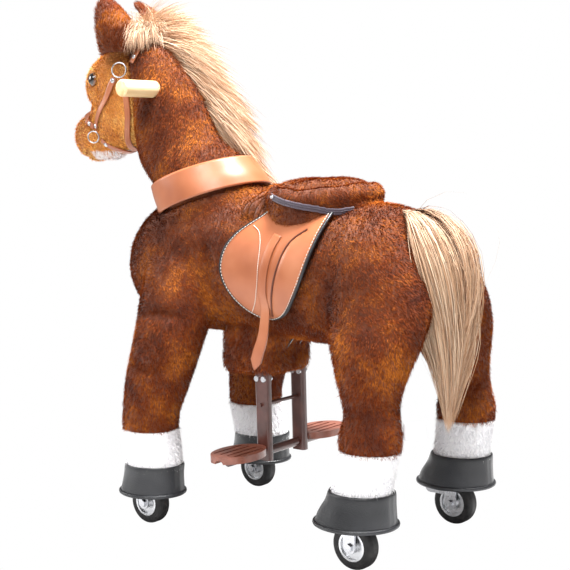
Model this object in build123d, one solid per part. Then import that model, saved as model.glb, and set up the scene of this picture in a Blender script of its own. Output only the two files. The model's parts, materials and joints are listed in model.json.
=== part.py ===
"""Ride-on plush horse on four wheels, with hinged front and rear halves, foot pedals and steering.

Millimetres. The horse faces -Y, its left side is +X and +Z is up. The origin is on the floor, under the
middle of the whole object. The rear half carries the seat. The front half hinges on it at the main pivot,
two pairs of links hang from the halves and lift the pedal frame on its guide, and the neck steers the
front wheels.
"""
import os
from math import cos, hypot, radians, sin

from build123d import *

os.makedirs("parts", exist_ok=True)

# ---- driving dimensions -------------------------------------------------------------------------
WHEEL_RADIUS = 35.0
WHEEL_WIDTH = 23.0
HUB_RADIUS = 22.0
AXLE_RADIUS = 4.0
RUNNING_GAP = 0.05
WHEEL_X = 136.0
FRONT_WHEEL_Y = -139.0
REAR_WHEEL_Y = 275.0

PIVOT = (33.0, 432.0)          # main pivot, as (y, z)
SPREAD_DEG = 12.0              # how far the two halves open
LINK_LENGTH = 108.0
LINK_ANGLE = 40.0              # of each link from the vertical when the legs are closed
SHAFT_RADIUS = 6.0
PIN_RADIUS = 4.0
PLATE = 4.0
GUIDE_RADIUS = 6.0
GUIDE_BOTTOM = 251.0
BAY_HALF_WIDTH = 62.0          # space inside the body for the mechanism
BAY_HALF_LENGTH = 100.0
BAY_TOP = 484.0

NECK_BASE = (-100.0, 523.0)    # middle of the collar's lower edge, as (y, z)
NECK_TILT = 17.0
KINGPIN_RADIUS = 8.0
COLUMN_RADIUS = 9.0

SHOULDER = (-75.0, 398.0)      # cross tube of the front frame, as (y, z)
HIP = (262.0, 392.0)           # cross tube of the rear frame
SHOULDER_HALF = 84.0
HIP_HALF = 92.0
TUBE_RADIUS = 11.0

PEDAL_TUBE_X = 45.0
PEDAL_TUBE = (14.0, 26.0)      # section of a pedal tube, across and along the horse
PEDAL_SHAFT_Z = 122.0
PEDAL_X = 105.0
HANDLE = (-187.0, 708.0)       # the hand bar, as (y, z)
HANDLE_RADIUS = 14.0
HANDLE_HALF = 122.0

SEAT_Y = 134.0
SEAT_BOTTOM = 490.0
SEAT_WIDEST = 528.0
SEAT_TOP = 553.0

# Torso sections along Y: y, middle height, half width, half height.
TORSO = [
    (-246, 414, 50, 52), (-226, 415, 78, 80), (-184, 420, 100, 104), (-110, 426, 110, 121),
    (-20, 424, 108, 119), (70, 410, 108, 109), (150, 407, 112, 113), (225, 411, 112, 112.5),
    (285, 412, 96, 98), (322, 415, 56, 58),
]
# Leg sections from the bottom up: z, x, y, half width, half length.
FRONT_SOCK = [(98, 136, -128, 42, 50), (124, 135, -131, 42, 50), (152, 133, -137, 43, 51)]
FRONT_LEG = [
    (152, 133, -137, 44, 52), (183, 131, -135, 44, 52), (218, 128, -126, 48, 57), (250, 124, -119, 51, 61),
    (313, 111, -106, 54, 66), (364, 94, -103, 55, 72), (410, 78, -104, 50, 72), (450, 66, -104, 40, 56),
    (480, 58, -104, 26, 36),
]
REAR_SOCK = [(114, 136, 288, 38, 45), (142, 134, 292, 38, 45), (170, 131, 299, 40, 47)]
REAR_LEG = [
    (170, 131, 299, 41, 49), (195, 130, 300, 42, 50), (225, 128, 302, 37, 43), (250, 122, 296, 41, 48),
    (285, 112, 292, 48, 60), (330, 94, 288, 58, 77), (380, 72, 283, 60, 88), (430, 62, 268, 58, 80),
    (470, 54, 256, 44, 56), (490, 48, 252, 30, 36),
]
FRONT_HOOF = [(56, 136, -133, 47, 56), (98, 136, -127, 43, 51)]
REAR_HOOF = [(70, 136, 276, 53, 62), (114, 136, 287, 43, 50)]
TAIL = [
    (222, 0, 334, 34, 40), (290, 0, 348, 50, 55), (360, 0, 361, 55, 58), (425, 0, 365, 50, 57),
    (472, 0, 350, 38, 42), (512, 0, 306, 22, 24),
]
# Neck and head sections: y, z, tilt of the section's normal forward from +Z, half width, half length.
NECK = [
    (-100, 523, 17, 86, 98), (-122, 563, 17, 80, 92), (-164, 605, 14, 70, 90), (-184, 655, 9, 62, 86),
    (-197, 705, 6, 56, 76), (-214, 748, 8, 48, 62), (-232, 780, 14, 32, 42),
]
HEAD = [
    (-262, 716, 112, 50, 72), (-318, 698, 114, 53, 71), (-358, 672, 118, 45, 57), (-384, 650, 122, 36, 46),
    (-402, 635, 124, 32, 37), (-412, 628, 124, 21, 24),
]


# ---- shared shapes ------------------------------------------------------------------------------
def rod(start, end, radius):
    """A round bar from start to end."""
    along = Vector(*end) - Vector(*start)
    place = Plane(origin=Vector(*start), z_dir=along)
    return place * Cylinder(radius, along.length, align=(Align.CENTER, Align.CENTER, Align.MIN))


def cross_rod(y, z, half_length, radius, x=0.0):
    """A round bar along X, centred on x."""
    return rod((x - half_length, y, z), (x + half_length, y, z), radius)


def block(low, high):
    """A box between two corners."""
    size = [b - a for a, b in zip(low, high)]
    return Pos(*low) * Box(*size, align=(Align.MIN, Align.MIN, Align.MIN))


def flat_bar(start, end, x, thickness, half_width):
    """A round-ended bar between two (y, z) points, flat against the YZ plane and centred on x."""
    middle = ((start[0] + end[0]) / 2, (start[1] + end[1]) / 2)
    span = hypot(end[0] - start[0], end[1] - start[1])
    along = Vector(0, end[0] - start[0], end[1] - start[1])
    face = Plane(origin=(x - thickness / 2, *middle), x_dir=along, z_dir=(1, 0, 0))
    return extrude(face * SlotCenterToCenter(span, 2 * half_width), thickness)


def upright_loft(sections, side=1, grow=0.0):
    """A limb through level ovals: z, x, y, half width, half length."""
    return loft([Pos(side * x, y, z) * Ellipse(a + grow, b + grow) for z, x, y, a, b in sections])


def leaning_loft(sections, grow=0.0):
    """A neck or head through ovals whose normals lean forward by the given angle."""
    return loft([
        Pos(0, y, z) * Rot(X=lean) * Ellipse(a + grow, b + grow) for y, z, lean, a, b in sections
    ])


def torso(grow=0.0):
    """The barrel of the body, through ovals across Y."""
    return loft([
        Pos(0, y, z) * Rot(X=90) * Ellipse(a + grow, b + grow) for y, z, a, b in TORSO
    ])


def half_space(point, normal):
    """A very large block on the side of a plane that its normal points to."""
    reach = 2000
    return Plane(origin=point, z_dir=normal) * Box(reach, reach, reach, align=(Align.CENTER, Align.CENTER, Align.MIN))


def on_neck_axis(distance):
    """The point at a distance up the steering axis from the collar's lower edge."""
    lean = radians(NECK_TILT)
    return (0, NECK_BASE[0] - distance * sin(lean), NECK_BASE[1] + distance * cos(lean))


def link_end(side):
    """Where a half of the frame carries its link, as (y, z): side is -1 at the front and 1 at the rear."""
    angle = radians(LINK_ANGLE)
    return (PIVOT[0] + side * LINK_LENGTH * sin(angle), PIVOT[1] - LINK_LENGTH * cos(angle))


def both(make):
    """The left and right copies of a shape."""
    return [make(1), make(-1)]


def save(name, shape):
    """Write one node, as one or more separate solids."""
    solids = []
    for piece in shape if isinstance(shape, list) else [shape]:
        solids += piece.solids()
    node = solids[0] if len(solids) == 1 else Compound(children=solids)
    export_step(node, f"parts/{name}.step")
    nodes[name] = node


nodes = {}
LOWER_PIN = (PIVOT[0], PIVOT[1] - 2 * LINK_LENGTH * cos(radians(LINK_ANGLE)))

# ---- wheels -------------------------------------------------------------------------------------
FORK_INSIDE = 14.0
FORK_PLATE = 3.0
CROWN_BOTTOM = 72.0
CROWN_TOP = 76.0


def tyre(side, y):
    ring = cross_rod(y, WHEEL_RADIUS, WHEEL_WIDTH / 2, WHEEL_RADIUS, side * WHEEL_X)
    ring = fillet(ring.edges().filter_by(GeomType.CIRCLE), 7)
    return ring - cross_rod(y, WHEEL_RADIUS, WHEEL_WIDTH, HUB_RADIUS, side * WHEEL_X)


def hub(side, y):
    x = side * WHEEL_X
    body = cross_rod(y, WHEEL_RADIUS, WHEEL_WIDTH / 2, HUB_RADIUS, x)
    for face in (-1, 1):
        dish = cross_rod(y, WHEEL_RADIUS, 4, HUB_RADIUS - 3, x + face * (WHEEL_WIDTH / 2 + 0.5))
        body -= dish - cross_rod(y, WHEEL_RADIUS, 8, 9, x + face * WHEEL_WIDTH / 2)
    body += cross_rod(y, WHEEL_RADIUS, WHEEL_WIDTH / 2 + 1.5, 9, x)
    return body - cross_rod(y, WHEEL_RADIUS, WHEEL_WIDTH, AXLE_RADIUS + RUNNING_GAP, x)


def fork_sides(side, y):
    """Crown plate and two side plates that hold one wheel."""
    x = side * WHEEL_X
    shape = block((x - 17, y - 15, CROWN_BOTTOM), (x + 17, y + 15, CROWN_TOP))
    for face in (-1, 1):
        middle = x + face * (FORK_INSIDE + FORK_PLATE / 2)
        shape += flat_bar((y, WHEEL_RADIUS), (y, CROWN_TOP - 12), middle, FORK_PLATE, 10)
        shape += block((middle - FORK_PLATE / 2, y - 10, 60), (middle + FORK_PLATE / 2, y + 10, CROWN_TOP))
    return shape


def axle_bolt(side, y):
    """Bolt through the wheel, with a head and a nut outside the fork."""
    x = side * WHEEL_X
    shape = cross_rod(y, WHEEL_RADIUS, FORK_INSIDE + FORK_PLATE, AXLE_RADIUS, x)
    for face in (-1, 1):
        start = x + face * (FORK_INSIDE + FORK_PLATE)
        hexagon = Plane(origin=(start, y, WHEEL_RADIUS), z_dir=(face, 0, 0)) * RegularPolygon(6.5, 6)
        shape += extrude(hexagon, 4)
    return shape


for side, name in ((1, "left"), (-1, "right")):
    for end, wheel_y in (("front", FRONT_WHEEL_Y), ("rear", REAR_WHEEL_Y)):
        save(f"{name}_{end}_tyre", tyre(side, wheel_y))
        save(f"{name}_{end}_hub", hub(side, wheel_y))
    kingpin = rod((side * WHEEL_X, FRONT_WHEEL_Y, CROWN_BOTTOM), (side * WHEEL_X, FRONT_WHEEL_Y, 132), KINGPIN_RADIUS)
    save(f"{name}_fork", fork_sides(side, FRONT_WHEEL_Y) + kingpin + axle_bolt(side, FRONT_WHEEL_Y))

# ---- steel frames -------------------------------------------------------------------------------
FRONT_EAR_X = 40.0
REAR_EAR_X = 50.0
EAR_RADIUS = 14.0
WELD = 2.5
SLEEVE_TOP = 142.0
SLEEVE_BOTTOM = 80.0


def kingpin_sleeve(side):
    foot = (side * WHEEL_X, FRONT_WHEEL_Y)
    return rod((*foot, SLEEVE_BOTTOM), (*foot, SLEEVE_TOP), TUBE_RADIUS + 2)


def leg_tube(side, knee, top_half, top):
    """A tube from the knee point up to the cross tube, with a weld bead at both ends."""
    knee_at = (side * knee[0], knee[1], knee[2])
    top_at = (side * top_half, *top)
    bead = Sphere(TUBE_RADIUS + WELD)
    return rod(knee_at, top_at, TUBE_RADIUS) + Pos(*knee_at) * bead + Pos(*top_at) * bead


front_pin = link_end(-1)
rear_pin = link_end(1)

head_tube_low = on_neck_axis(-126)
head_tube_high = on_neck_axis(-12)
front_frame = cross_rod(*SHOULDER, SHOULDER_HALF, TUBE_RADIUS)
front_frame += rod(head_tube_low, head_tube_high, COLUMN_RADIUS + 5)
for side in (1, -1):
    front_frame += flat_bar(PIVOT, front_pin, side * FRONT_EAR_X, PLATE, 11)
    front_frame += flat_bar(PIVOT, SHOULDER, side * FRONT_EAR_X, PLATE, EAR_RADIUS)
    front_frame += leg_tube(side, (WHEEL_X, FRONT_WHEEL_Y, SLEEVE_TOP - 4), SHOULDER_HALF - 2, SHOULDER)
    front_frame += kingpin_sleeve(side)
front_frame_filled = front_frame
front_frame = front_frame - cross_rod(*PIVOT, 60, SHAFT_RADIUS + RUNNING_GAP)
front_frame -= cross_rod(*front_pin, 60, PIN_RADIUS + RUNNING_GAP)
front_frame -= rod(on_neck_axis(-114), on_neck_axis(-10), COLUMN_RADIUS + RUNNING_GAP)
for side in (1, -1):
    foot = (side * WHEEL_X, FRONT_WHEEL_Y)
    front_frame -= rod((*foot, SLEEVE_BOTTOM - 2), (*foot, 134), KINGPIN_RADIUS + RUNNING_GAP)
save("front_frame", front_frame)

REAR_KNEE = (WHEEL_X, REAR_WHEEL_Y + 6, 150.0)
rear_frame = cross_rod(*HIP, HIP_HALF, TUBE_RADIUS)
for side in (1, -1):
    ear_x = side * REAR_EAR_X
    rear_frame += flat_bar(PIVOT, rear_pin, ear_x, PLATE, 11)
    rear_frame += flat_bar(PIVOT, HIP, ear_x, PLATE, EAR_RADIUS)
    rear_frame += leg_tube(side, REAR_KNEE, HIP_HALF - 2, HIP)
    rear_frame += rod((side * WHEEL_X, REAR_WHEEL_Y, CROWN_TOP), (side * REAR_KNEE[0], *REAR_KNEE[1:]), TUBE_RADIUS)
    for post_y in (SEAT_Y - 45, SEAT_Y + 45):
        rear_frame += rod((ear_x, post_y, HIP[1] + 12), (ear_x, post_y, 486), 6)
rear_frame_filled = rear_frame
rear_frame = rear_frame - cross_rod(*PIVOT, 60, SHAFT_RADIUS)
rear_frame -= cross_rod(*rear_pin, 60, PIN_RADIUS + RUNNING_GAP)
rear_frame -= half_space((0, REAR_WHEEL_Y, CROWN_TOP), (0, 0, -1))
save("rear_frame", rear_frame)

shaft = cross_rod(*PIVOT, 58, SHAFT_RADIUS)
for side in (1, -1):
    nut = Plane(origin=(side * (REAR_EAR_X + PLATE / 2), *PIVOT), z_dir=(side, 0, 0)) * RegularPolygon(10, 6)
    shaft += extrude(nut, 5)
save("main_pivot_shaft", shaft)

SEAT_BOARD = ((-58, SEAT_Y - 78, 486), (58, SEAT_Y + 78, 494))
seat_board = block(*SEAT_BOARD)
seat_board = fillet(seat_board.edges().filter_by(Axis.Z), 20)
save("seat_board", seat_board)

# ---- rear wheel brackets, axle bolts and one-way pawls ------------------------------------------
PAWL_Z = 57.0
PAWL_Y = REAR_WHEEL_Y - 37


def rear_bracket(side):
    x = side * WHEEL_X
    shape = fork_sides(side, REAR_WHEEL_Y)
    inner = x - side * (FORK_INSIDE + FORK_PLATE / 2)
    shape += flat_bar((PAWL_Y, PAWL_Z), (REAR_WHEEL_Y, PAWL_Z), inner, FORK_PLATE, 8)
    return shape - cross_rod(REAR_WHEEL_Y, WHEEL_RADIUS, 40, AXLE_RADIUS, x)


def pawl(side):
    """One-way pawl on the forward end of the inner side plate."""
    plate_inside = side * (WHEEL_X - FORK_INSIDE)
    return cross_rod(PAWL_Y, PAWL_Z, 8, 5, plate_inside + side * 8)


save("rear_wheel_brackets", both(rear_bracket))
save("rear_axle_bolts", both(lambda side: axle_bolt(side, REAR_WHEEL_Y)))
save("one_way_pawls", both(pawl))

# ---- links, guide and pedal frame ---------------------------------------------------------------
FRONT_LINK_X = 19.5
REAR_LINK_X = 14.5
LINK_PLATE = 3.0
LINK_HALF = 7.0
OPEN_PIVOT_GAP = 1.0


def link_pair(top, x, pin_half):
    """Two bars from a frame pin to the lower pin, joined by the frame pin."""
    shape = cross_rod(*top, pin_half, PIN_RADIUS)
    for side in (1, -1):
        shape += flat_bar(top, LOWER_PIN, side * x, LINK_PLATE, LINK_HALF)
    return shape - cross_rod(*LOWER_PIN, 30, PIN_RADIUS + OPEN_PIVOT_GAP)


save("front_links", link_pair(front_pin, FRONT_LINK_X, FRONT_EAR_X + PLATE / 2 + 2))
save("rear_links", link_pair(rear_pin, REAR_LINK_X, REAR_EAR_X + PLATE / 2 + 2))

YOKE_X = 28.0
YOKE_DROP = 26.0
yoke_z = PIVOT[1] - YOKE_DROP
guide = rod((0, PIVOT[0], GUIDE_BOTTOM), (0, PIVOT[0], yoke_z), GUIDE_RADIUS)
guide += block((-YOKE_X - 2, PIVOT[0] - 9, yoke_z - 3), (YOKE_X + 2, PIVOT[0] + 9, yoke_z + 2))
for side in (1, -1):
    guide += flat_bar((PIVOT[0], yoke_z + 5), PIVOT, side * YOKE_X, PLATE, 9)
guide -= cross_rod(*PIVOT, 60, SHAFT_RADIUS + RUNNING_GAP)
save("pedal_guide", guide)

CARRIAGE_PLATE = (252.0, 258.0)
CARRIAGE_TOP = LOWER_PIN[1] + 10
carriage = block((-53, PIVOT[0] - 13, CARRIAGE_PLATE[0]), (53, PIVOT[0] + 13, CARRIAGE_PLATE[1]))
carriage += block((-9, PIVOT[0] - 11, CARRIAGE_PLATE[1]), (9, PIVOT[0] + 11, CARRIAGE_TOP))
carriage += cross_rod(*LOWER_PIN, 24, PIN_RADIUS)
carriage -= rod((0, PIVOT[0], 240), (0, PIVOT[0], 300), GUIDE_RADIUS + RUNNING_GAP)
save("pedal_carriage", carriage)

SPRING_BOTTOM = CARRIAGE_TOP
SPRING_TOP = yoke_z - 3
SPRING_COILS = 9
WIRE = 1.3
spring_height = SPRING_TOP - SPRING_BOTTOM - 2 * WIRE - 0.4
coil = Helix(spring_height / SPRING_COILS, spring_height, 9)
wire_face = Plane(origin=coil @ 0, z_dir=coil % 0) * Circle(WIRE)
spring = Pos(0, PIVOT[0], SPRING_BOTTOM + WIRE + 0.2) * sweep(wire_face, path=coil, is_frenet=True)
save("return_spring", spring)

TUBE_TOP = CARRIAGE_PLATE[0]
TUBE_BOTTOM = 108.0
RUNG_Z = 198.0
SCREW_Z = 240.0
SCREW_HEAD = 4.5               # radius of a screw head
SCREW_STANDS = 2.5             # how far a head stands off the tube
SCREW_SPACING = 14.0


def pedal_tube(side):
    half_x = PEDAL_TUBE[0] / 2
    half_y = PEDAL_TUBE[1] / 2
    x = side * PEDAL_TUBE_X
    tube = block((x - half_x, PIVOT[0] - half_y, TUBE_BOTTOM), (x + half_x, PIVOT[0] + half_y, TUBE_TOP))
    tube = fillet(tube.edges().filter_by(Axis.Z), 5)
    tube -= cross_rod(PIVOT[0], RUNG_Z, 60, 3)
    return tube - cross_rod(PIVOT[0], PEDAL_SHAFT_Z, 60, 7)


def tube_screws(side):
    """Round screw heads on both faces of a pedal tube, just under the pouch."""
    x = side * PEDAL_TUBE_X
    half_x = PEDAL_TUBE[0] / 2
    heads = Part()
    for y in (PIVOT[0] - SCREW_SPACING / 2, PIVOT[0] + SCREW_SPACING / 2):
        heads += cross_rod(y, SCREW_Z, half_x + SCREW_STANDS, SCREW_HEAD, x)
    return heads - block((x - half_x, PIVOT[0] - 20, 220), (x + half_x, PIVOT[0] + 20, 252))


pedal_tubes = both(pedal_tube)
save("pedal_tubes", pedal_tubes)
save("pedal_screws", both(tube_screws))
save("pedal_rung", cross_rod(PIVOT[0], RUNG_Z, PEDAL_TUBE_X + 11, 3))
save("pedal_shaft", cross_rod(PIVOT[0], PEDAL_SHAFT_Z, PEDAL_X + 30, 7))


def pedal(side):
    """Leaf-shaped footplate with four grooves across the foot."""
    outline = Pos(side * PEDAL_X, PIVOT[0] - 4, PEDAL_SHAFT_Z + 1) * Ellipse(52, 36)
    plate = extrude(outline, 11)
    plate -= cross_rod(PIVOT[0], PEDAL_SHAFT_Z, 200, 7)
    for row in range(4):
        groove_y = PIVOT[0] - 25 + row * 14
        x = side * PEDAL_X
        plate -= block((x - 34, groove_y - 2, PEDAL_SHAFT_Z + 9), (x + 34, groove_y + 2, PEDAL_SHAFT_Z + 14))
    return plate


save("left_pedal", pedal(1))
save("right_pedal", pedal(-1))

# ---- belly pouch round the mechanism ------------------------------------------------------------
POUCH_LOW = (-60.0, -52.0, 246.0)
POUCH_HIGH = (60.0, 58.0, 328.0)
POUCH_WALL = 4.0
POUCH_CORNER = 16.0
TUBE_HOLE = (10.5, 15.0)        # half size of the hole that a pedal tube and its screw heads rise through
pouch = block(POUCH_LOW, POUCH_HIGH)
pouch = fillet(pouch.edges().filter_by(Axis.Z), POUCH_CORNER)
inside = block([v + POUCH_WALL for v in POUCH_LOW], [v - POUCH_WALL for v in POUCH_HIGH[:2]] + [POUCH_HIGH[2] + 5])
pouch -= fillet(inside.edges().filter_by(Axis.Z), POUCH_CORNER - POUCH_WALL)
pouch -= block((-28, 30, 272), (28, POUCH_HIGH[1] + 5, POUCH_HIGH[2] + 5))
for side in (1, -1):
    x = side * PEDAL_TUBE_X
    pouch -= block(
        (x - TUBE_HOLE[0], PIVOT[0] - TUBE_HOLE[1], POUCH_LOW[2] - 2),
        (x + TUBE_HOLE[0], PIVOT[0] + TUBE_HOLE[1], POUCH_LOW[2] + POUCH_WALL + 1))
save("belly_pouch", pouch)

# ---- stuffed body -------------------------------------------------------------------------------
GAP_FRONT_DEG = 8.5            # the wedge above the main pivot that closes when the legs spread
GAP_REAR_DEG = 7.0
bay = block(
    (-BAY_HALF_WIDTH, PIVOT[0] - BAY_HALF_LENGTH, 200),
    (BAY_HALF_WIDTH, PIVOT[0] + BAY_HALF_LENGTH, BAY_TOP))
front_gap = radians(GAP_FRONT_DEG)
rear_gap = radians(GAP_REAR_DEG)
whole_torso = torso() - bay

neck_root = loft([
    Pos(*on_neck_axis(-1)) * Rot(X=NECK_TILT) * Ellipse(91, 103),
    Pos(*on_neck_axis(-45)) * Rot(X=NECK_TILT) * Ellipse(97, 109),
    Pos(*on_neck_axis(-105)) * Rot(X=NECK_TILT) * Ellipse(92, 106),
])
front_torso = whole_torso + (neck_root - bay)
front_torso -= half_space((0, PIVOT[0] - 0.5, PIVOT[1]), (0, 1, 0))
front_torso -= half_space((0, *PIVOT), (0, cos(front_gap), sin(front_gap)))
front_torso -= half_space(on_neck_axis(-1), (0, -sin(radians(NECK_TILT)), cos(radians(NECK_TILT))))
front_torso -= rod(on_neck_axis(-14), on_neck_axis(1), COLUMN_RADIUS + 3)
front_torso_filled = front_torso
front_torso -= front_frame_filled
save("front_torso", front_torso)

rear_torso = whole_torso - half_space((0, PIVOT[0] + 0.5, PIVOT[1]), (0, -1, 0))
rear_torso -= half_space((0, *PIVOT), (0, -cos(rear_gap), sin(rear_gap)))
rear_torso_filled = rear_torso
rear_torso = rear_torso - rear_frame_filled - seat_board
save("rear_torso", rear_torso)

for side, name in ((1, "left"), (-1, "right")):
    front_leg = upright_loft(FRONT_LEG, side) - front_torso_filled - front_frame_filled
    rear_leg = upright_loft(REAR_LEG, side) - rear_torso_filled - rear_frame_filled
    rear_leg -= half_space((side, 0, 0), (-side, 0, 0))
    save(f"{name}_front_leg", max(front_leg.solids(), key=lambda solid: solid.volume))
    save(f"{name}_rear_leg", max(rear_leg.solids(), key=lambda solid: solid.volume))

save("front_socks", both(lambda side: upright_loft(FRONT_SOCK, side) - front_frame_filled))
save("rear_socks", both(lambda side: upright_loft(REAR_SOCK, side) - rear_frame_filled))

# ---- hooves -------------------------------------------------------------------------------------
HOOF_CAVITY_RADIUS = 38.5
PIPING = 5.0


def front_hoof(side):
    cavity = rod((side * WHEEL_X, FRONT_WHEEL_Y, 20), (side * WHEEL_X, FRONT_WHEEL_Y, SLEEVE_BOTTOM), HOOF_CAVITY_RADIUS)
    return upright_loft(FRONT_HOOF, side) - cavity - front_frame_filled


def rear_hoof(side):
    x = side * WHEEL_X
    cavity = block((x - 25, REAR_WHEEL_Y - 40, 20), (x + 25, REAR_WHEEL_Y + 40, CROWN_TOP + 4))
    return upright_loft(REAR_HOOF, side) - cavity - rear_frame_filled


def piping(section, side):
    """Rolled edge round the bottom of a hoof sleeve."""
    z, x, y, a, b = section
    ring = Ellipse(a + 2.5, b + 2.5) - Ellipse(a - 2.5, b - 2.5)
    return extrude(Pos(side * x, y, z - PIPING) * ring, PIPING)


for side, name in ((1, "left"), (-1, "right")):
    save(f"{name}_front_hoof", front_hoof(side))
    save(f"{name}_rear_hoof", rear_hoof(side))
save("front_hoof_piping", both(lambda side: piping(FRONT_HOOF[0], side)))
save("rear_hoof_piping", both(lambda side: piping(REAR_HOOF[0], side)))

tail = upright_loft(TAIL) - torso() - upright_loft(REAR_LEG, 1) - upright_loft(REAR_LEG, -1)
save("tail", max(tail.solids(), key=lambda solid: solid.volume))
label_place = Pos(98.5, 353.5, 202) * Rot(Z=121)
care_label = label_place * Box(29, 1.2, 24) - upright_loft(REAR_LEG, 1) - tail
save("care_label", max(care_label.solids(), key=lambda solid: solid.volume))

# ---- saddle, straps, cushion and gathers --------------------------------------------------------
SADDLE_INNER = 2.5
SADDLE_OUTER = 6.0
flap_outline = Spline(
    (66, 512), (44, 486), (16, 452), (10, 415), (22, 374), (60, 346), (105, 341), (150, 364),
    (176, 410), (184, 458), (200, 512))
flap_face = make_face([flap_outline, Polyline((200, 512), (200, 560), (66, 560), (66, 512))])
flap_prism = extrude(Plane.YZ.offset(-200) * flap_face, 400)
saddle = (torso(SADDLE_OUTER) - torso(SADDLE_INNER)) & flap_prism
save("saddle", saddle)


def strap(side):
    """Strap that hangs from under the saddle flap, with a pointed end."""
    outline = make_face(Polyline((72, 330), (104, 338), (92, 285), (76, 262), (64, 268), (60, 285), (72, 330)))
    hang = extrude(Plane.YZ.offset(side * 117) * outline, side * 3)
    return hang


save("hanging_straps", both(strap))

cushion = loft([
    Pos(0, SEAT_Y, SEAT_BOTTOM) * Ellipse(78, 78),
    Pos(0, SEAT_Y, SEAT_WIDEST) * Ellipse(86, 87),
    Pos(0, SEAT_Y, SEAT_TOP) * Ellipse(70, 72),
])
cushion -= torso(SADDLE_OUTER)
save("seat_cushion", max(cushion.solids(), key=lambda solid: solid.volume))

gather_rise = (BAY_TOP - PIVOT[1] + 2, 112.0)
gather_face = make_face(Polyline(*[
    (PIVOT[0] + rise * slope, PIVOT[1] + rise)
    for rise, slope in (
        (gather_rise[0], -0.1), (gather_rise[0], 0.1), (gather_rise[1], 0.1), (gather_rise[1], -0.1),
        (gather_rise[0], -0.1))
]))
save("back_gathers", extrude(Plane.YZ.offset(-52) * gather_face, 104))

# ---- neck, head and what they carry -------------------------------------------------------------
column_bend = on_neck_axis(70)
column = rod(on_neck_axis(-110), column_bend, COLUMN_RADIUS)
column += rod(column_bend, (0, HANDLE[0], HANDLE[1] - 10), COLUMN_RADIUS) + Pos(*column_bend) * Sphere(COLUMN_RADIUS)
column += cross_rod(*HANDLE, 16, HANDLE_RADIUS + 4)
column -= cross_rod(*HANDLE, 130, HANDLE_RADIUS)
save("steering_column", column)

handle = cross_rod(*HANDLE, HANDLE_HALF, HANDLE_RADIUS)
handle = fillet(handle.edges().filter_by(GeomType.CIRCLE), 4)
save("handle_bar", handle)

handle_hole = cross_rod(*HANDLE, 130, HANDLE_RADIUS)
column_filled = column + handle_hole
whole_neck = leaning_loft(NECK)
whole_head = leaning_loft(HEAD)
neck = whole_neck - column_filled
save("neck", neck)
head = whole_head - whole_neck - column_filled
save("head", max(head.solids(), key=lambda solid: solid.volume))

collar = leaning_loft(NECK[:2], 4) - leaning_loft(NECK[:2])
save("collar", collar)


def ear(side):
    sections = [
        Pos(side * 40, -268, 776) * Rot(X=18) * Ellipse(19, 26),
        Pos(side * 43, -290, 806) * Rot(X=22) * Ellipse(22, 30),
        Pos(side * 42, -300, 838) * Rot(X=22) * Ellipse(19, 25),
        Pos(side * 40, -307, 868) * Rot(X=10) * Ellipse(7, 9),
    ]
    return loft(sections) - whole_neck - whole_head


save("ears", both(ear))


def eye(side):
    return Pos(side * 44, -336, 722) * Sphere(13) - whole_head


save("eyes", both(eye))

mane_outline = Spline(
    (-268, 800), (-235, 852), (-175, 832), (-120, 792), (-60, 726), (-10, 664), (17, 615), (-6, 572), (-48, 590))
mane_face = make_face([mane_outline, Polyline((-48, 590), (-130, 650), (-190, 740), (-268, 800))])
mane = extrude(Plane.YZ.offset(-22) * mane_face, 62) - whole_neck - leaning_loft(NECK[:2], 4) - whole_head
mane = mane - ear(1) - ear(-1)
save("mane", max(mane.solids(), key=lambda solid: solid.volume))

STRAP = 2.5
head_skin = leaning_loft(HEAD, STRAP) - whole_head - whole_neck
nose_band = head_skin & (Pos(0, -368, 664) * Rot(X=118) * Box(200, 200, 14))
cheek_band = head_skin & (Pos(0, -300, 700) * Rot(X=100) * Box(200, 220, 14))
save("bridle", [nose_band, cheek_band])


def bridle_ring(side):
    ring = Pos(side * 55.5, -330, 672) * Rot(Y=90) * Torus(11, 1.8)
    return ring - whole_head - nose_band - cheek_band


save("bridle_rings", both(bridle_ring))

for name, node in nodes.items():
    size = node.bounding_box().size
    print(f"{name:22s} {len(node.solids())} {size.X:7.1f} {size.Y:7.1f} {size.Z:7.1f}")
low = [min(tuple(node.bounding_box().min)[axis] for node in nodes.values()) for axis in range(3)]
high = [max(tuple(node.bounding_box().max)[axis] for node in nodes.values()) for axis in range(3)]
print(len(nodes), "nodes, whole object from", low, "to", high)
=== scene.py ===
"""Ride-on plush horse: skins, fur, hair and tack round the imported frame. Metres, the horse faces -Y."""
import json
import math

import bmesh
import bpy
import numpy as np
from mathutils import Matrix, Vector
from mathutils.bvhtree import BVHTree


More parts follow.
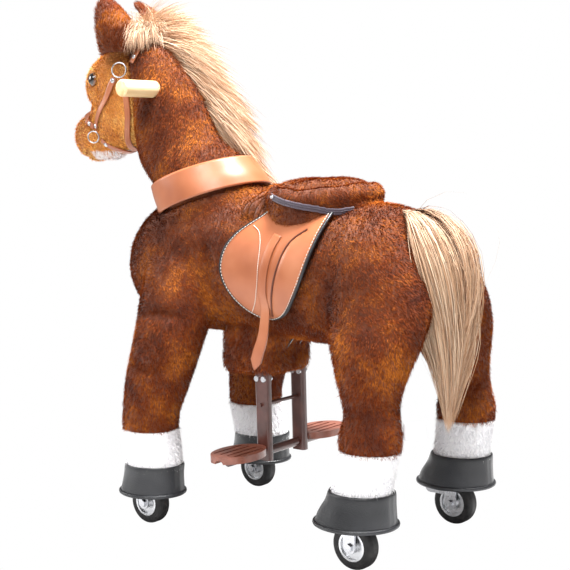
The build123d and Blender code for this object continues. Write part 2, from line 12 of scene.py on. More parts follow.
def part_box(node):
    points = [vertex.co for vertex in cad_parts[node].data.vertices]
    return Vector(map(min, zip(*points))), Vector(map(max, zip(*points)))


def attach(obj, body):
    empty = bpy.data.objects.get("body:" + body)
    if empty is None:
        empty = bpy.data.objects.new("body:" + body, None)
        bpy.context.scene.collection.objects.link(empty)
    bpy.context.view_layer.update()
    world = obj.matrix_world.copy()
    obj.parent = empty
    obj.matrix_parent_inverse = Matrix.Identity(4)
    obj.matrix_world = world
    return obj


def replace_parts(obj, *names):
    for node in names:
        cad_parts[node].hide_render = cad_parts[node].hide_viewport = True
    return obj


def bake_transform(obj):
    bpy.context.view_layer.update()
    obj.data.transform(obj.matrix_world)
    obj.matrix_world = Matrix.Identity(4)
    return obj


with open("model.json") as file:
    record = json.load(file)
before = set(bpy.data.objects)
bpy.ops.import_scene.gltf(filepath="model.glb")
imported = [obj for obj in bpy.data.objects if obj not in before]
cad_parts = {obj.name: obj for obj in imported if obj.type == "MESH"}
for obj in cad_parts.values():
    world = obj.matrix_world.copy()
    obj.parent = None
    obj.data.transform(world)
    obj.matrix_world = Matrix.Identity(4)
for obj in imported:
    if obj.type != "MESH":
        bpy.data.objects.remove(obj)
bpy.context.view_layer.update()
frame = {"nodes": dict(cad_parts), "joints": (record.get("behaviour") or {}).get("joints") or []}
random = np.random.default_rng(20)

# ---- places that several pieces share, in the row frame --------------------------------------------
JOINTS = {joint["name"]: joint for joint in frame["joints"]}
NECK_BASE = Vector(JOINTS["neck_steer"]["pos_m"])
NECK_UP = Vector(JOINTS["neck_steer"]["axis"])
FUR = 0.004                     # the pile stands this far off the skin
FRONT, REAR, HEAD = "front_half", "rear_half", "neck_and_head"

# Sections, as in the frame: the torso along Y, the legs from the bottom up, the neck from its base.
TORSO = [
    (-0.248, 0.414, 0.030, 0.030), (-0.243, 0.414, 0.056, 0.058), (-0.226, 0.415, 0.080, 0.082),
    (-0.184, 0.420, 0.100, 0.106), (-0.110, 0.426, 0.110, 0.121), (-0.020, 0.424, 0.108, 0.119),
    (0.070, 0.410, 0.108, 0.109), (0.150, 0.407, 0.112, 0.110), (0.225, 0.411, 0.112, 0.110),
    (0.285, 0.412, 0.098, 0.098), (0.318, 0.415, 0.066, 0.068), (0.330, 0.416, 0.030, 0.030),
]
FRONT_LEG = [
    (0.150, 0.133, -0.137, 0.044, 0.052), (0.183, 0.131, -0.135, 0.044, 0.052),
    (0.218, 0.128, -0.126, 0.048, 0.057), (0.250, 0.123, -0.119, 0.051, 0.061),
    (0.313, 0.109, -0.106, 0.054, 0.066), (0.364, 0.092, -0.102, 0.056, 0.073),
    (0.410, 0.076, -0.103, 0.052, 0.076), (0.450, 0.062, -0.105, 0.044, 0.066),
    (0.485, 0.050, -0.107, 0.030, 0.044),
]
REAR_LEG = [
    (0.168, 0.131, 0.299, 0.041, 0.049), (0.195, 0.130, 0.300, 0.042, 0.050),
    (0.225, 0.127, 0.301, 0.037, 0.044), (0.250, 0.122, 0.296, 0.041, 0.048),
    (0.285, 0.112, 0.292, 0.048, 0.060), (0.330, 0.095, 0.288, 0.057, 0.077),
    (0.380, 0.075, 0.282, 0.058, 0.086), (0.430, 0.064, 0.266, 0.056, 0.080),
    (0.470, 0.054, 0.252, 0.046, 0.062), (0.492, 0.046, 0.246, 0.028, 0.040),
]
NECK = [
    (-0.080, 0.500, 17, 0.078, 0.090), (-0.100, 0.523, 17, 0.083, 0.096), (-0.122, 0.563, 17, 0.077, 0.090),
    (-0.164, 0.605, 14, 0.068, 0.088), (-0.184, 0.655, 9, 0.060, 0.083), (-0.199, 0.705, 4, 0.055, 0.072),
    (-0.222, 0.748, 2, 0.047, 0.060), (-0.240, 0.777, 2, 0.034, 0.044), (-0.250, 0.790, 2, 0.014, 0.018),
]


# ---- mesh tools --------------------------------------------------------------------------------------
def new_object(name, points, faces, smooth=True):
    mesh = bpy.data.meshes.new(name)
    mesh.from_pydata([tuple(p) for p in points], [], [tuple(int(i) for i in f) for f in faces])
    mesh.update()
    if smooth:
        mesh.shade_smooth()
    piece = bpy.data.objects.new(name, mesh)
    bpy.context.scene.collection.objects.link(piece)
    return piece


def apply_modifiers(piece):
    """Keep what the modifiers make, and drop the modifiers."""
    bpy.context.view_layer.update()
    graph = bpy.context.evaluated_depsgraph_get()
    mesh = bpy.data.meshes.new_from_object(piece.evaluated_get(graph))
    piece.modifiers.clear()
    piece.data = mesh
    mesh.shade_smooth()
    return piece


def smooth_rows(rows, steps):
    """Catmull-Rom points through rows of numbers."""
    rows = np.array(rows, float)
    padded = np.vstack([2 * rows[0] - rows[1], rows, 2 * rows[-1] - rows[-2]])
    result = []
    for i in range(len(rows) - 1):
        a, b, c, d = padded[i:i + 4]
        for t in np.linspace(0, 1, steps, endpoint=False):
            result.append(0.5 * (2 * b + (c - a) * t + (2 * a - 5 * b + 4 * c - d) * t**2
                                 + (3 * b - a - 3 * c + d) * t**3))
    result.append(rows[-1])
    return np.array(result)


def lofted(name, rings, steps=4, around=48):
    """A closed skin through ovals: each ring is a centre and its two half axes as vectors."""
    rows = smooth_rows([[*centre, *u, *v] for centre, u, v in rings], steps)
    angles = np.linspace(0, 2 * math.pi, around, endpoint=False)
    points = []
    for row in rows:
        centre, u, v = row[:3], row[3:6], row[6:9]
        points += [centre + math.cos(t) * u + math.sin(t) * v for t in angles]
    faces = []
    for i in range(len(rows) - 1):
        for j in range(around):
            k = (j + 1) % around
            faces.append((i * around + j, i * around + k, (i + 1) * around + k, (i + 1) * around + j))
    faces.append(tuple(range(around))[::-1])
    last = (len(rows) - 1) * around
    faces.append(tuple(last + j for j in range(around)))
    piece = new_object(name, points, faces)
    recalculate(piece)
    return piece


def recalculate(piece):
    work = bmesh.new()
    work.from_mesh(piece.data)
    bmesh.ops.recalc_face_normals(work, faces=work.faces)
    work.to_mesh(piece.data)
    work.free()


def level_rings(sections, side=1, grow=-FUR):
    return [((side * x, y, z), (a + grow, 0, 0), (0, b + grow, 0)) for z, x, y, a, b in sections]


def torso_rings(grow=-FUR):
    return [((0, y, z), (a + grow, 0, 0), (0, 0, b + grow)) for y, z, a, b in TORSO]


def leaning_rings(sections, grow=-FUR):
    rings = []
    for y, z, lean, a, b in sections:
        t = math.radians(lean)
        rings.append(((0, y, z), (a + grow, 0, 0), (0, (b + grow) * math.cos(t), (b + grow) * math.sin(t))))
    return rings


def ball(name, centre, radii, turn_x=0.0):
    work = bmesh.new()
    bmesh.ops.create_uvsphere(work, u_segments=40, v_segments=24, radius=1)
    mesh = bpy.data.meshes.new(name)
    work.to_mesh(mesh)
    work.free()
    place = Matrix.Translation(centre) @ Matrix.Rotation(math.radians(turn_x), 4, "X")
    mesh.transform(place @ Matrix.Diagonal((*radii, 1)))
    mesh.shade_smooth()
    piece = bpy.data.objects.new(name, mesh)
    bpy.context.scene.collection.objects.link(piece)
    return piece


def merged(name, parts, voxel, smoothing):
    """One skin from several closed parts that overlap."""
    work = bmesh.new()
    for part in parts:
        work.from_mesh(part.data)
        bpy.data.objects.remove(part)
    mesh = bpy.data.meshes.new(name)
    work.to_mesh(mesh)
    work.free()
    piece = bpy.data.objects.new(name, mesh)
    bpy.context.scene.collection.objects.link(piece)
    remesh = piece.modifiers.new("remesh", "REMESH")
    remesh.mode = "VOXEL"
    remesh.voxel_size = voxel
    soften = piece.modifiers.new("smooth", "SMOOTH")
    soften.factor = 0.5
    soften.iterations = smoothing
    return apply_modifiers(piece)


def coordinates(piece):
    count = len(piece.data.vertices)
    at = np.empty(count * 3)
    normal = np.empty(count * 3)
    piece.data.vertices.foreach_get("co", at)
    piece.data.vertices.foreach_get("normal", normal)
    return at.reshape(-1, 3), normal.reshape(-1, 3)


def set_coordinates(piece, at):
    piece.data.vertices.foreach_set("co", at.ravel())
    piece.data.update()


def crease(piece, path, width, depth, mirror=True):
    """Push the skin in along a line, or out where depth is negative."""
    at, normal = coordinates(piece)
    lines = [np.array(path, float)]
    if mirror:
        lines.append(lines[0] * (-1, 1, 1))
    push = np.zeros(len(at))
    for line in lines:
        line = smooth_rows(line, 8)
        near = np.full(len(at), 1e9)
        for a, b in zip(line[:-1], line[1:]):
            t = np.clip(((at - a) @ (b - a)) / max((b - a) @ (b - a), 1e-12), 0, 1)
            near = np.minimum(near, np.linalg.norm(at - a - t[:, None] * (b - a), axis=1))
        push = np.maximum(push, np.exp(-(near / width) ** 2))
    set_coordinates(piece, at - normal * (push * depth)[:, None])


# ---- materials ---------------------------------------------------------------------------------------
class Material:
    """A node material with short calls for what these need."""

    def __init__(self, name, roughness=0.5, **constants):
        self.made = bpy.data.materials.new(name)
        self.made.use_nodes = True
        self.tree = self.made.node_tree
        self.shader = self.tree.nodes["Principled BSDF"]
        self.shader.inputs["Roughness"].default_value = roughness
        for socket, value in constants.items():
            self.shader.inputs[socket.replace("_", " ")].default_value = value
        self.place = self.tree.nodes.new("ShaderNodeTexCoord").outputs["Object"]

    def node(self, kind, inputs=(), **settings):
        made = self.tree.nodes.new(kind)
        for key, value in settings.items():
            setattr(made, key, value)
        for socket, value in dict(inputs).items():
            if isinstance(value, bpy.types.NodeSocket):
                self.tree.links.new(value, made.inputs[socket])
            else:
                made.inputs[socket].default_value = value
        return made

    def noise(self, scale, detail=3.0, stretch=(1, 1, 1), roughness=0.55):
        mapping = self.node("ShaderNodeMapping", {"Vector": self.place, "Scale": stretch})
        made = self.node("ShaderNodeTexNoise", {
            "Vector": mapping.outputs[0], "Scale": scale, "Detail": detail, "Roughness": roughness})
        return made.outputs["Fac"]

    def attribute(self, name):
        return self.node("ShaderNodeAttribute", attribute_name=name).outputs["Fac"]

    def ramp(self, factor, stops):
        made = self.node("ShaderNodeValToRGB", {"Fac": factor})
        elements = made.color_ramp.elements
        while len(elements) < len(stops):
            elements.new(0.5)
        for element, (at, colour) in zip(elements, stops):
            element.position = at
            element.color = (*colour, 1) if len(colour) == 3 else colour
        return made.outputs["Color"]

    def mix(self, factor, a, b, blend="MIX"):
        made = self.node("ShaderNodeMix", data_type="RGBA", blend_type=blend)
        for socket, value in ((made.inputs["Factor"], factor), (made.inputs[6], a), (made.inputs[7], b)):
            if isinstance(value, bpy.types.NodeSocket):
                self.tree.links.new(value, socket)
            else:
                socket.default_value = (*value, 1) if isinstance(value, tuple) and len(value) == 3 else value
        return made.outputs[2]

    def math(self, operation, a, b=0.0):
        made = self.node("ShaderNodeMath", operation=operation)
        for socket, value in zip(made.inputs, (a, b)):
            if isinstance(value, bpy.types.NodeSocket):
                self.tree.links.new(value, socket)
            else:
                socket.default_value = value
        return made.outputs[0]

    def spread(self, value, low, high):
        made = self.node("ShaderNodeMapRange", {"Value": value, "To Min": low, "To Max": high})
        return made.outputs[0]

    def colour(self, socket):
        self.tree.links.new(socket, self.shader.inputs["Base Color"])

    def rough(self, socket):
        self.tree.links.new(socket, self.shader.inputs["Roughness"])

    def bump(self, height, strength, distance):
        made = self.node("ShaderNodeBump", {"Height": height, "Strength": strength, "Distance": distance})
        self.tree.links.new(made.outputs[0], self.shader.inputs["Normal"])


def srgb(r, g, b):
    """A colour from 0 to 255 values as seen on a screen."""
    return tuple(c / 12.92 if c <= 0.04045 else ((c + 0.055) / 1.055) ** 2.4
                 for c in (r / 255, g / 255, b / 255))


def plush(name, dark, middle, light, mottling=16.0, root=(0.50, 0.40, 0.34)):
    """Short pile: mottled patches, and strands darker at their roots as painted shade and lighter towards
    their tips as painted light; root is the colour of that painted root shade.
    """
    made = Material(name, 0.75, Sheen_Weight=0.03, Sheen_Roughness=0.5, Specular_IOR_Level=0.15)
    made.shader.inputs["Sheen Tint"].default_value = (*light, 1)
    patches = made.noise(mottling, 4)
    fine = made.noise(140, 2)
    both_noise = made.math("ADD", made.math("MULTIPLY", patches, 0.72), made.math("MULTIPLY", fine, 0.28))
    base = made.ramp(both_noise, [(0.34, dark), (0.50, middle), (0.66, light)])
    along = made.attribute("along")
    # shade: painted shade towards each strand's root, and painted light above the base colour at its tip
    shade = made.ramp(along, [(0.0, root), (0.5, (0.97, 0.97, 0.97)), (1.0, (1.15, 1.12, 1.08))])
    made.colour(made.mix(1.0, base, shade, "MULTIPLY"))
    made.rough(made.spread(patches, 0.62, 0.9))
    return made.made


def under_plush(name, dark, middle):
    """The backing under the pile."""
    made = Material(name, 0.9, Sheen_Weight=0.2)
    patches = made.noise(16, 4)
    made.colour(made.ramp(patches, [(0.35, dark), (0.65, middle)]))
    made.rough(made.spread(made.noise(300, 2), 0.8, 0.95))
    made.bump(made.noise(900, 2), 0.5, 0.001)
    return made.made


def leatherette(name, dark, middle, light, roughness, grain, depth, coat=0.0):
    made = Material(name, roughness, Coat_Weight=coat, Coat_Roughness=0.3, Specular_IOR_Level=0.5)
    shade = made.noise(9, 3)
    cells = made.node("ShaderNodeTexVoronoi", {"Vector": made.place, "Scale": grain}).outputs["Distance"]
    worn = made.noise(60, 4)
    base = made.ramp(shade, [(0.3, dark), (0.5, middle), (0.72, light)])
    made.colour(made.mix(made.math("MULTIPLY", cells, 0.10), base, dark))
    made.rough(made.spread(worn, roughness - 0.07, roughness + 0.1))
    made.bump(made.math("ADD", cells, made.math("MULTIPLY", worn, 0.3)), depth, 0.0006)
    return made.made


def painted(name, colour, roughness=0.35):
    made = Material(name, roughness, Coat_Weight=0.3, Coat_Roughness=0.15)
    wear = made.noise(45, 5)
    lighter = tuple(min(1, c * 1.7 + 0.01) for c in colour)
    made.colour(made.ramp(wear, [(0.35, colour), (0.75, lighter)]))
    made.rough(made.spread(made.noise(220, 2), roughness - 0.06, roughness + 0.12))
    made.bump(made.noise(600, 2), 0.12, 0.0004)
    return made.made


def bright_metal(name, colour, roughness=0.28):
    made = Material(name, roughness, Metallic=1.0)
    made.colour(made.ramp(made.noise(70, 4), [(0.3, tuple(c * 0.8 for c in colour)), (0.7, colour)]))
    made.rough(made.spread(made.noise(160, 3, (1, 8, 1)), roughness - 0.1, roughness + 0.12))
    made.bump(made.noise(420, 2, (1, 6, 1)), 0.15, 0.0003)
    return made.made


def rubber():
    made = Material("tyre rubber", 0.55, Specular_IOR_Level=0.4)
    made.colour(made.ramp(made.noise(80, 4), [(0.3, srgb(18, 18, 20)), (0.75, srgb(48, 46, 46))]))
    made.rough(made.spread(made.noise(120, 3), 0.42, 0.72))
    made.bump(made.noise(700, 2), 0.3, 0.0005)
    return made.made


def pale_wood():
    made = Material("hand bar wood", 0.42, Coat_Weight=0.25, Coat_Roughness=0.25)
    grain = made.noise(26, 5, (0.25, 3.5, 3.5))
    made.colour(made.ramp(grain, [
        (0.3, srgb(214, 178, 122)), (0.5, srgb(238, 211, 160)), (0.7, srgb(250, 232, 190))]))
    made.rough(made.spread(grain, 0.34, 0.52))
    made.bump(grain, 0.15, 0.0006)
    return made.made


def hair_material(name, stops):
    """Long hair: streaks from strand to strand, darker at the root as painted shade and lighter at the tip as
    painted light.
    """
    made = Material(name, 0.55, Sheen_Weight=0.25, Sheen_Roughness=0.4, Specular_IOR_Level=0.35)
    tone = made.attribute("tone")
    along = made.attribute("along")
    streak = made.ramp(tone, stops)
    # shade: painted shade at the root of each strand, painted light at its tip
    shade = made.ramp(along, [(0.0, (0.62, 0.55, 0.5)), (0.35, (0.95, 0.93, 0.9)), (1.0, (1.12, 1.1, 1.08))])
    patches = made.noise(11, 3)
    shaded = made.mix(1.0, streak, shade, "MULTIPLY")
    dark = made.mix(1.0, shaded, (0.80, 0.70, 0.62), "MULTIPLY")
    made.colour(made.mix(made.ramp(patches, [(0.4, (0, 0, 0)), (0.7, (0.8, 0.8, 0.8))]), shaded, dark))
    return made.made


def cloth(name, colour, light, scale=900):
    made = Material(name, 0.85, Sheen_Weight=0.3)
    weave = made.node("ShaderNodeTexWave", {"Vector": made.place, "Scale": scale, "Distortion": 1.0})
    made.colour(made.mix(weave.outputs["Fac"], colour, light))
    made.rough(made.spread(made.noise(90, 3), 0.75, 0.95))
    made.bump(weave.outputs["Fac"], 0.3, 0.0004)
    return made.made


BROWN = (srgb(80, 28, 6), srgb(126, 56, 15), srgb(194, 112, 38))
FACE = (srgb(204, 118, 44), srgb(246, 176, 88), srgb(255, 218, 136))
plush_brown = plush("brown plush pile", *BROWN)
plush_face = plush("golden face pile", *FACE, mottling=22)
# the last value is the white pile's painted root shade, kept light
plush_white = plush("white plush pile", srgb(244, 243, 246), srgb(251, 250, 252), srgb(255, 255, 255), 30,
                    (0.95, 0.95, 0.96))
plush_dark = plush("dark gathered pile", srgb(58, 28, 10), srgb(128, 66, 24), srgb(186, 108, 44))
brown_backing = under_plush("brown plush backing", srgb(86, 37, 11), srgb(120, 60, 20))
face_backing = under_plush("golden face backing", srgb(168, 98, 42), srgb(204, 136, 66))
white_backing = under_plush("white plush backing", srgb(242, 241, 243), srgb(250, 250, 251))
tan_leather = leatherette(
    "tan leatherette", srgb(146, 80, 48), srgb(167, 98, 63), srgb(183, 116, 81), 0.37, 1500, 0.05, 0.06)
black_leather = leatherette(
    "black leatherette", srgb(16, 16, 19), srgb(28, 29, 32), srgb(46, 47, 51), 0.38, 620, 0.45, 0.08)
frame_paint = painted("black frame paint", srgb(26, 26, 28))
brown_paint = painted("red-brown paint", srgb(70, 34, 26), 0.3)
pedal_plastic = painted("pedal plastic", srgb(116, 66, 50), 0.4)
zinc = bright_metal("zinc plate", srgb(205, 206, 210))
hub_metal = bright_metal("cast hub", srgb(226, 227, 230), 0.34)
spring_wire = bright_metal("spring wire", srgb(120, 120, 124), 0.35)
tyre_rubber = rubber()
bar_wood = pale_wood()
blond_hair = hair_material("blond long pile", [
    (0.0, srgb(138, 98, 70)), (0.25, srgb(180, 140, 108)), (0.6, srgb(210, 178, 148)),
    (1.0, srgb(226, 206, 182))])
label_cloth = cloth("blank label tape", srgb(226, 226, 228), srgb(246, 246, 248))
zip_cloth = cloth("zip tape", srgb(52, 44, 54), srgb(92, 80, 92))


def give(piece, material):
    piece.data.materials.clear()
    piece.data.materials.append(material)
    return piece


# ---- fur and hair ------------------------------------------------------------------------------------
def surface_samples(piece, count, keep=None):
    """Random points on a mesh with their normals."""
    mesh = piece.data
    mesh.calc_loop_triangles()
    at, normal = coordinates(piece)
    corners = np.array([t.vertices[:] for t in mesh.loop_triangles])
    a, b, c = at[corners[:, 0]], at[corners[:, 1]], at[corners[:, 2]]
    area = np.linalg.norm(np.cross(b - a, c - a), axis=1) / 2
    pick = random.choice(len(corners), count, p=area / area.sum())
    u, v = random.random(count), random.random(count)
    flip = u + v > 1
    u[flip], v[flip] = 1 - u[flip], 1 - v[flip]
    w = 1 - u - v
    three = corners[pick]
    points = a[pick] * w[:, None] + b[pick] * u[:, None] + c[pick] * v[:, None]
    normals = (normal[three[:, 0]] * w[:, None] + normal[three[:, 1]] * u[:, None]
               + normal[three[:, 2]] * v[:, None])
    normals /= np.linalg.norm(normals, axis=1)[:, None]
    if keep is not None:
        mask = keep(points, normals)
        points, normals = points[mask], normals[mask]
    return points, normals


def unit(rows):
    return rows / np.maximum(np.linalg.norm(rows, axis=1), 1e-9)[:, None]


def ribbons(name, paths, across, widths, tones, material):
    """Thin tapered ribbons: paths is strands by points by 3, across the ribbon's sideways direction."""
    strands, steps = paths.shape[:2]
    taper = np.linspace(1, 0, steps) ** 0.6
    half = across[:, None, :] * (widths[:, None] * taper[None, :] / 2)[:, :, None]
    left, right = paths - half, paths + half
    body = np.stack([left[:, :-1], right[:, :-1]], axis=2).reshape(strands, -1, 3)
    points = np.concatenate([body, paths[:, -1:]], axis=1)
    per = points.shape[1]
    quads = [(2 * i, 2 * i + 1, 2 * i + 3, 2 * i + 2) for i in range(steps - 2)]
    first = np.arange(strands)[:, None] * per
    quad_faces = (
        (first[:, :, None] + np.array(quads)[None]).reshape(-1, 4) if quads else np.zeros((0, 4), int))
    tip = np.array([per - 3, per - 2, per - 1])
    tip_faces = (first + tip[None]).reshape(-1, 3)
    mesh = bpy.data.meshes.new(name)
    corner = np.concatenate([quad_faces.ravel(), tip_faces.ravel()])
    total = len(quad_faces) + len(tip_faces)
    starts = np.concatenate([
        np.arange(len(quad_faces)) * 4,
        len(quad_faces) * 4 + np.arange(len(tip_faces)) * 3])
    mesh.vertices.add(strands * per)
    mesh.vertices.foreach_set("co", points.ravel())
    mesh.loops.add(len(corner))
    mesh.loops.foreach_set("vertex_index", corner)
    mesh.polygons.add(total)
    mesh.polygons.foreach_set("loop_start", starts)
    mesh.update(calc_edges=True)
    mesh.validate()
    mesh.shade_smooth()
    share = np.concatenate([np.repeat(np.arange(steps - 1), 2), [steps - 1]]) / (steps - 1)
    mesh.attributes.new("along", "FLOAT", "POINT").data.foreach_set(
        "value", np.tile(share, strands).astype(np.float32))
    mesh.attributes.new("tone", "FLOAT", "POINT").data.foreach_set(
        "value", np.repeat(tones, per).astype(np.float32))
    piece = bpy.data.objects.new(name, mesh)
    bpy.context.scene.collection.objects.link(piece)
    return give(piece, material)


def pile(name, skin, count, length, width, material, comb, keep=None, lean=0.9):
    """Short fur: two bends per strand, leaning the way it is combed."""
    points, normals = surface_samples(skin, count, keep)
    flow = comb(points)
    flow = unit(flow - normals * np.sum(flow * normals, axis=1)[:, None])
    flow = unit(flow + 0.20 * random.normal(size=flow.shape))
    size = length * random.uniform(0.75, 1.1, len(points))[:, None]
    middle = points + size * (0.34 * normals + 0.36 * lean * flow)
    tip = middle + size * (0.10 * normals + 0.56 * lean * flow)
    across = unit(np.cross(flow, normals) + 0.5 * random.normal(size=flow.shape))
    widths = width * random.uniform(0.7, 1.2, len(points))
    return ribbons(name, np.stack([points, middle, tip], 1), across, widths, random.random(len(points)),
                   material)


def fur_count(piece, spacing):
    return int(sum(f.area for f in piece.data.polygons) / spacing**2)


# ---- stage, camera and light -------------------------------------------------------------------------
def camera():
    azimuth, down, roll = math.radians(129.2), math.radians(5.7), math.radians(-1.51)
    ahead = Vector((-math.sin(azimuth) * math.cos(down), math.cos(azimuth) * math.cos(down), -math.sin(down)))
    right = ahead.cross(Vector((0, 0, 1))).normalized()
    up = right.cross(ahead)
    right, up = (math.cos(roll) * right + math.sin(roll) * up, math.cos(roll) * up - math.sin(roll) * right)
    data = bpy.data.cameras.new("camera")
    data.sensor_width = 36
    data.lens = 77.9
    made = bpy.data.objects.new("camera", data)
    turn = Matrix((right, up, -ahead)).transposed().to_4x4()
    made.matrix_world = Matrix.Translation((1.524, 1.289, 0.582)) @ turn
    bpy.context.scene.collection.objects.link(made)
    bpy.context.scene.camera = made


def area_light(name, at, aim, size, power):
    data = bpy.data.lights.new(name, "AREA")
    data.shape = "DISK"
    data.size = size
    data.energy = power
    made = bpy.data.objects.new(name, data)
    made.location = at
    made.rotation_euler = (Vector(aim) - Vector(at)).to_track_quat("-Z", "Y").to_euler()
    bpy.context.scene.collection.objects.link(made)


def stage():
    floor = new_object("floor", [(-9, -9, 0), (9, -9, 0), (9, 9, 0), (-9, 9, 0)], [(0, 1, 2, 3)])
    floor.visible_camera = False
    paper = Material("white paper floor", 0.9)
    paper.colour(paper.ramp(paper.noise(3, 2), [(0.3, (0.50, 0.50, 0.50)), (0.7, (0.54, 0.54, 0.54))]))
    give(floor, paper.made)
    world = bpy.data.worlds.new("studio")
    bpy.context.scene.world = world
    world.use_nodes = True
    tree = world.node_tree
    lit = tree.nodes["Background"]
    lit.inputs["Color"].default_value = (1.0, 0.99, 0.98, 1)
    lit.inputs["Strength"].default_value = 0.34
    seen = tree.nodes.new("ShaderNodeBackground")
    seen.inputs["Color"].default_value = (1, 1, 1, 1)
    path = tree.nodes.new("ShaderNodeLightPath")
    choose = tree.nodes.new("ShaderNodeMixShader")
    tree.links.new(path.outputs["Is Camera Ray"], choose.inputs[0])
    tree.links.new(lit.outputs[0], choose.inputs[1])
    tree.links.new(seen.outputs[0], choose.inputs[2])
    tree.links.new(choose.outputs[0], tree.nodes["World Output"].inputs["Surface"])
    area_light("top left", (2.2, 0.6, 2.6), (0, 0, 0.5), 1.6, 95)
    area_light("overhead", (-0.4, 0.5, 3.0), (0, 0, 0.5), 1.0, 330)
    area_light("front fill", (1.2, -2.8, 1.5), (0, 0, 0.5), 1.2, 34)
    bpy.context.scene.view_settings.view_transform = "Standard"


camera()
stage()


# ---- body skin and its pile --------------------------------------------------------------------------
def body_skin():
    parts = [lofted("torso", torso_rings())]
    for side in (1, -1):
        parts.append(lofted("front leg", level_rings(FRONT_LEG, side)))
        parts.append(lofted("rear leg", level_rings(REAR_LEG, side)))
    root = leaning_rings([(-0.062, 0.430, 17, 0.086, 0.100), (-0.085, 0.485, 17, 0.090, 0.104),
                          (-0.098, 0.518, 17, 0.088, 0.101)])
    parts.append(lofted("neck root", root))
    skin = merged("body_skin", parts, 0.0055, 14)
    # Fold in front of the haunch, behind the elbow, at the top of the front leg and down the leg seams.
    crease(skin, [(0.118, 0.196, 0.300), (0.122, 0.182, 0.345), (0.116, 0.172, 0.385)], 0.010, 0.018)
    crease(skin, [(0.112, -0.030, 0.350), (0.110, -0.028, 0.400), (0.104, -0.034, 0.450)], 0.011, 0.007)
    crease(skin, [(0.158, -0.150, 0.345), (0.150, -0.090, 0.352), (0.140, -0.040, 0.345)], 0.008, 0.007)
    crease(skin, [(0.160, -0.150, 0.268), (0.165, -0.100, 0.262), (0.150, -0.060, 0.268)], 0.008, 0.006)
    crease(skin, [(0.128, 0.362, 0.175), (0.124, 0.364, 0.250), (0.112, 0.378, 0.330)], 0.007, 0.008)
    crease(skin, [(0.130, -0.070, 0.160), (0.124, -0.052, 0.240), (0.112, -0.030, 0.320)], 0.007, 0.008)
    give(skin, brown_backing)
    return skin


def body_comb(points):
    """Back and down over the torso, straight down on the legs."""
    flow = np.tile(np.array([0.0, 0.75, -0.65]), (len(points), 1))
    flow[points[:, 2] < 0.34] = (0, 0.15, -1)
    return flow


skin = body_skin()
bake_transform(skin)
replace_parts(skin, "front_torso", "rear_torso", "left_front_leg", "right_front_leg", "left_rear_leg",
            "right_rear_leg")


def body_pile():
    total = fur_count(skin, 0.0017)
    regions = {}
    for name, side in (("left", 1), ("right", -1)):
        regions[f"{name}_chest_pile"] = (
            lambda p, n, s=side: (s * p[:, 0] > 0) & (p[:, 1] < -0.03) & (p[:, 2] > 0.33))
        regions[f"{name}_rump_pile"] = (
            lambda p, n, s=side: (s * p[:, 0] > 0) & (p[:, 1] >= -0.03) & (p[:, 2] > 0.33))
        regions[f"{name}_front_leg_pile"] = lambda p, n, s=side: (
            (s * p[:, 0] > 0) & (p[:, 1] < -0.03) & (p[:, 2] <= 0.33))
        regions[f"{name}_rear_leg_pile"] = lambda p, n, s=side: (
            (s * p[:, 0] > 0) & (p[:, 1] >= -0.03) & (p[:, 2] <= 0.33))
    for name, keep in regions.items():
        fur = pile(name, skin, total, 0.0078, 0.0010, plush_brown, body_comb, keep)
        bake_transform(fur)


body_pile()


# ---- neck and head -----------------------------------------------------------------------------------
def head_skins():
    neck = merged("neck_skin", [lofted("neck", leaning_rings(NECK))], 0.005, 6)
    crease(neck, [(0.058, -0.205, 0.800), (0.064, -0.222, 0.745), (0.056, -0.236, 0.700),
                  (0.060, -0.262, 0.655)],
           0.012, 0.016)
    crease(neck, [(0.062, -0.205, 0.690), (0.062, -0.175, 0.712), (0.052, -0.150, 0.742)], 0.009, 0.011)
    give(neck, brown_backing)
    head = merged("head_skin", [
        ball("cranium", (0, -0.302, 0.732), (0.050, 0.068, 0.058), 18),
        ball("forehead", (0, -0.336, 0.724), (0.043, 0.046, 0.050)),
        ball("cheeks", (0, -0.302, 0.678), (0.050, 0.058, 0.066)),
        ball("jaw", (0, -0.318, 0.648), (0.040, 0.052, 0.040), -12),
        lofted("nose", [
            ((0, -0.326, 0.715), (0.041, 0, 0), (0, 0.040, 0.044)),
            ((0, -0.350, 0.685), (0.039, 0, 0), (0, 0.035, 0.046)),
            ((0, -0.372, 0.656), (0.036, 0, 0), (0, 0.033, 0.038)),
            ((0, -0.382, 0.636), (0.034, 0, 0), (0, 0.029, 0.031)),
        ]),
        ball("muzzle", (0, -0.383, 0.634), (0.037, 0.033, 0.041), 24),
        ball("chin", (0, -0.350, 0.616), (0.027, 0.036, 0.020), -10),
    ], 0.0035, 10)
    crease(head, [(0.0, -0.400, 0.600), (0.026, -0.382, 0.602), (0.034, -0.362, 0.618),
                  (0.034, -0.348, 0.640)],
           0.0035, 0.006)
    crease(head, [(0.022, -0.416, 0.650), (0.027, -0.412, 0.643)], 0.006, 0.007)
    crease(head, [(0.040, -0.398, 0.672), (0.040, -0.362, 0.668), (0.040, -0.352, 0.650)], 0.005, 0.005)
    crease(head, [(0.045, -0.344, 0.742), (0.046, -0.336, 0.730)], 0.012, 0.005)
    give(head, face_backing)
    return neck, head


def neck_comb(points):
    flow = np.tile(np.array([0.0, 0.10, -1.0]), (len(points), 1))
    return flow


def head_comb(points):
    flow = np.tile(np.array([0.0, 0.55, -0.6]), (len(points), 1))
    flow[points[:, 1] < -0.37] = (0, 0.6, -0.2)
    return flow


neck_skin, head_skin = head_skins()
neck_fur = pile("neck_pile", neck_skin, fur_count(neck_skin, 0.0017), 0.0078,
                0.0010,
                plush_brown, neck_comb, lambda p, n: (p - np.array(NECK_BASE)) @ np.array(NECK_UP) > 0.03)
chin_limit = 0.612


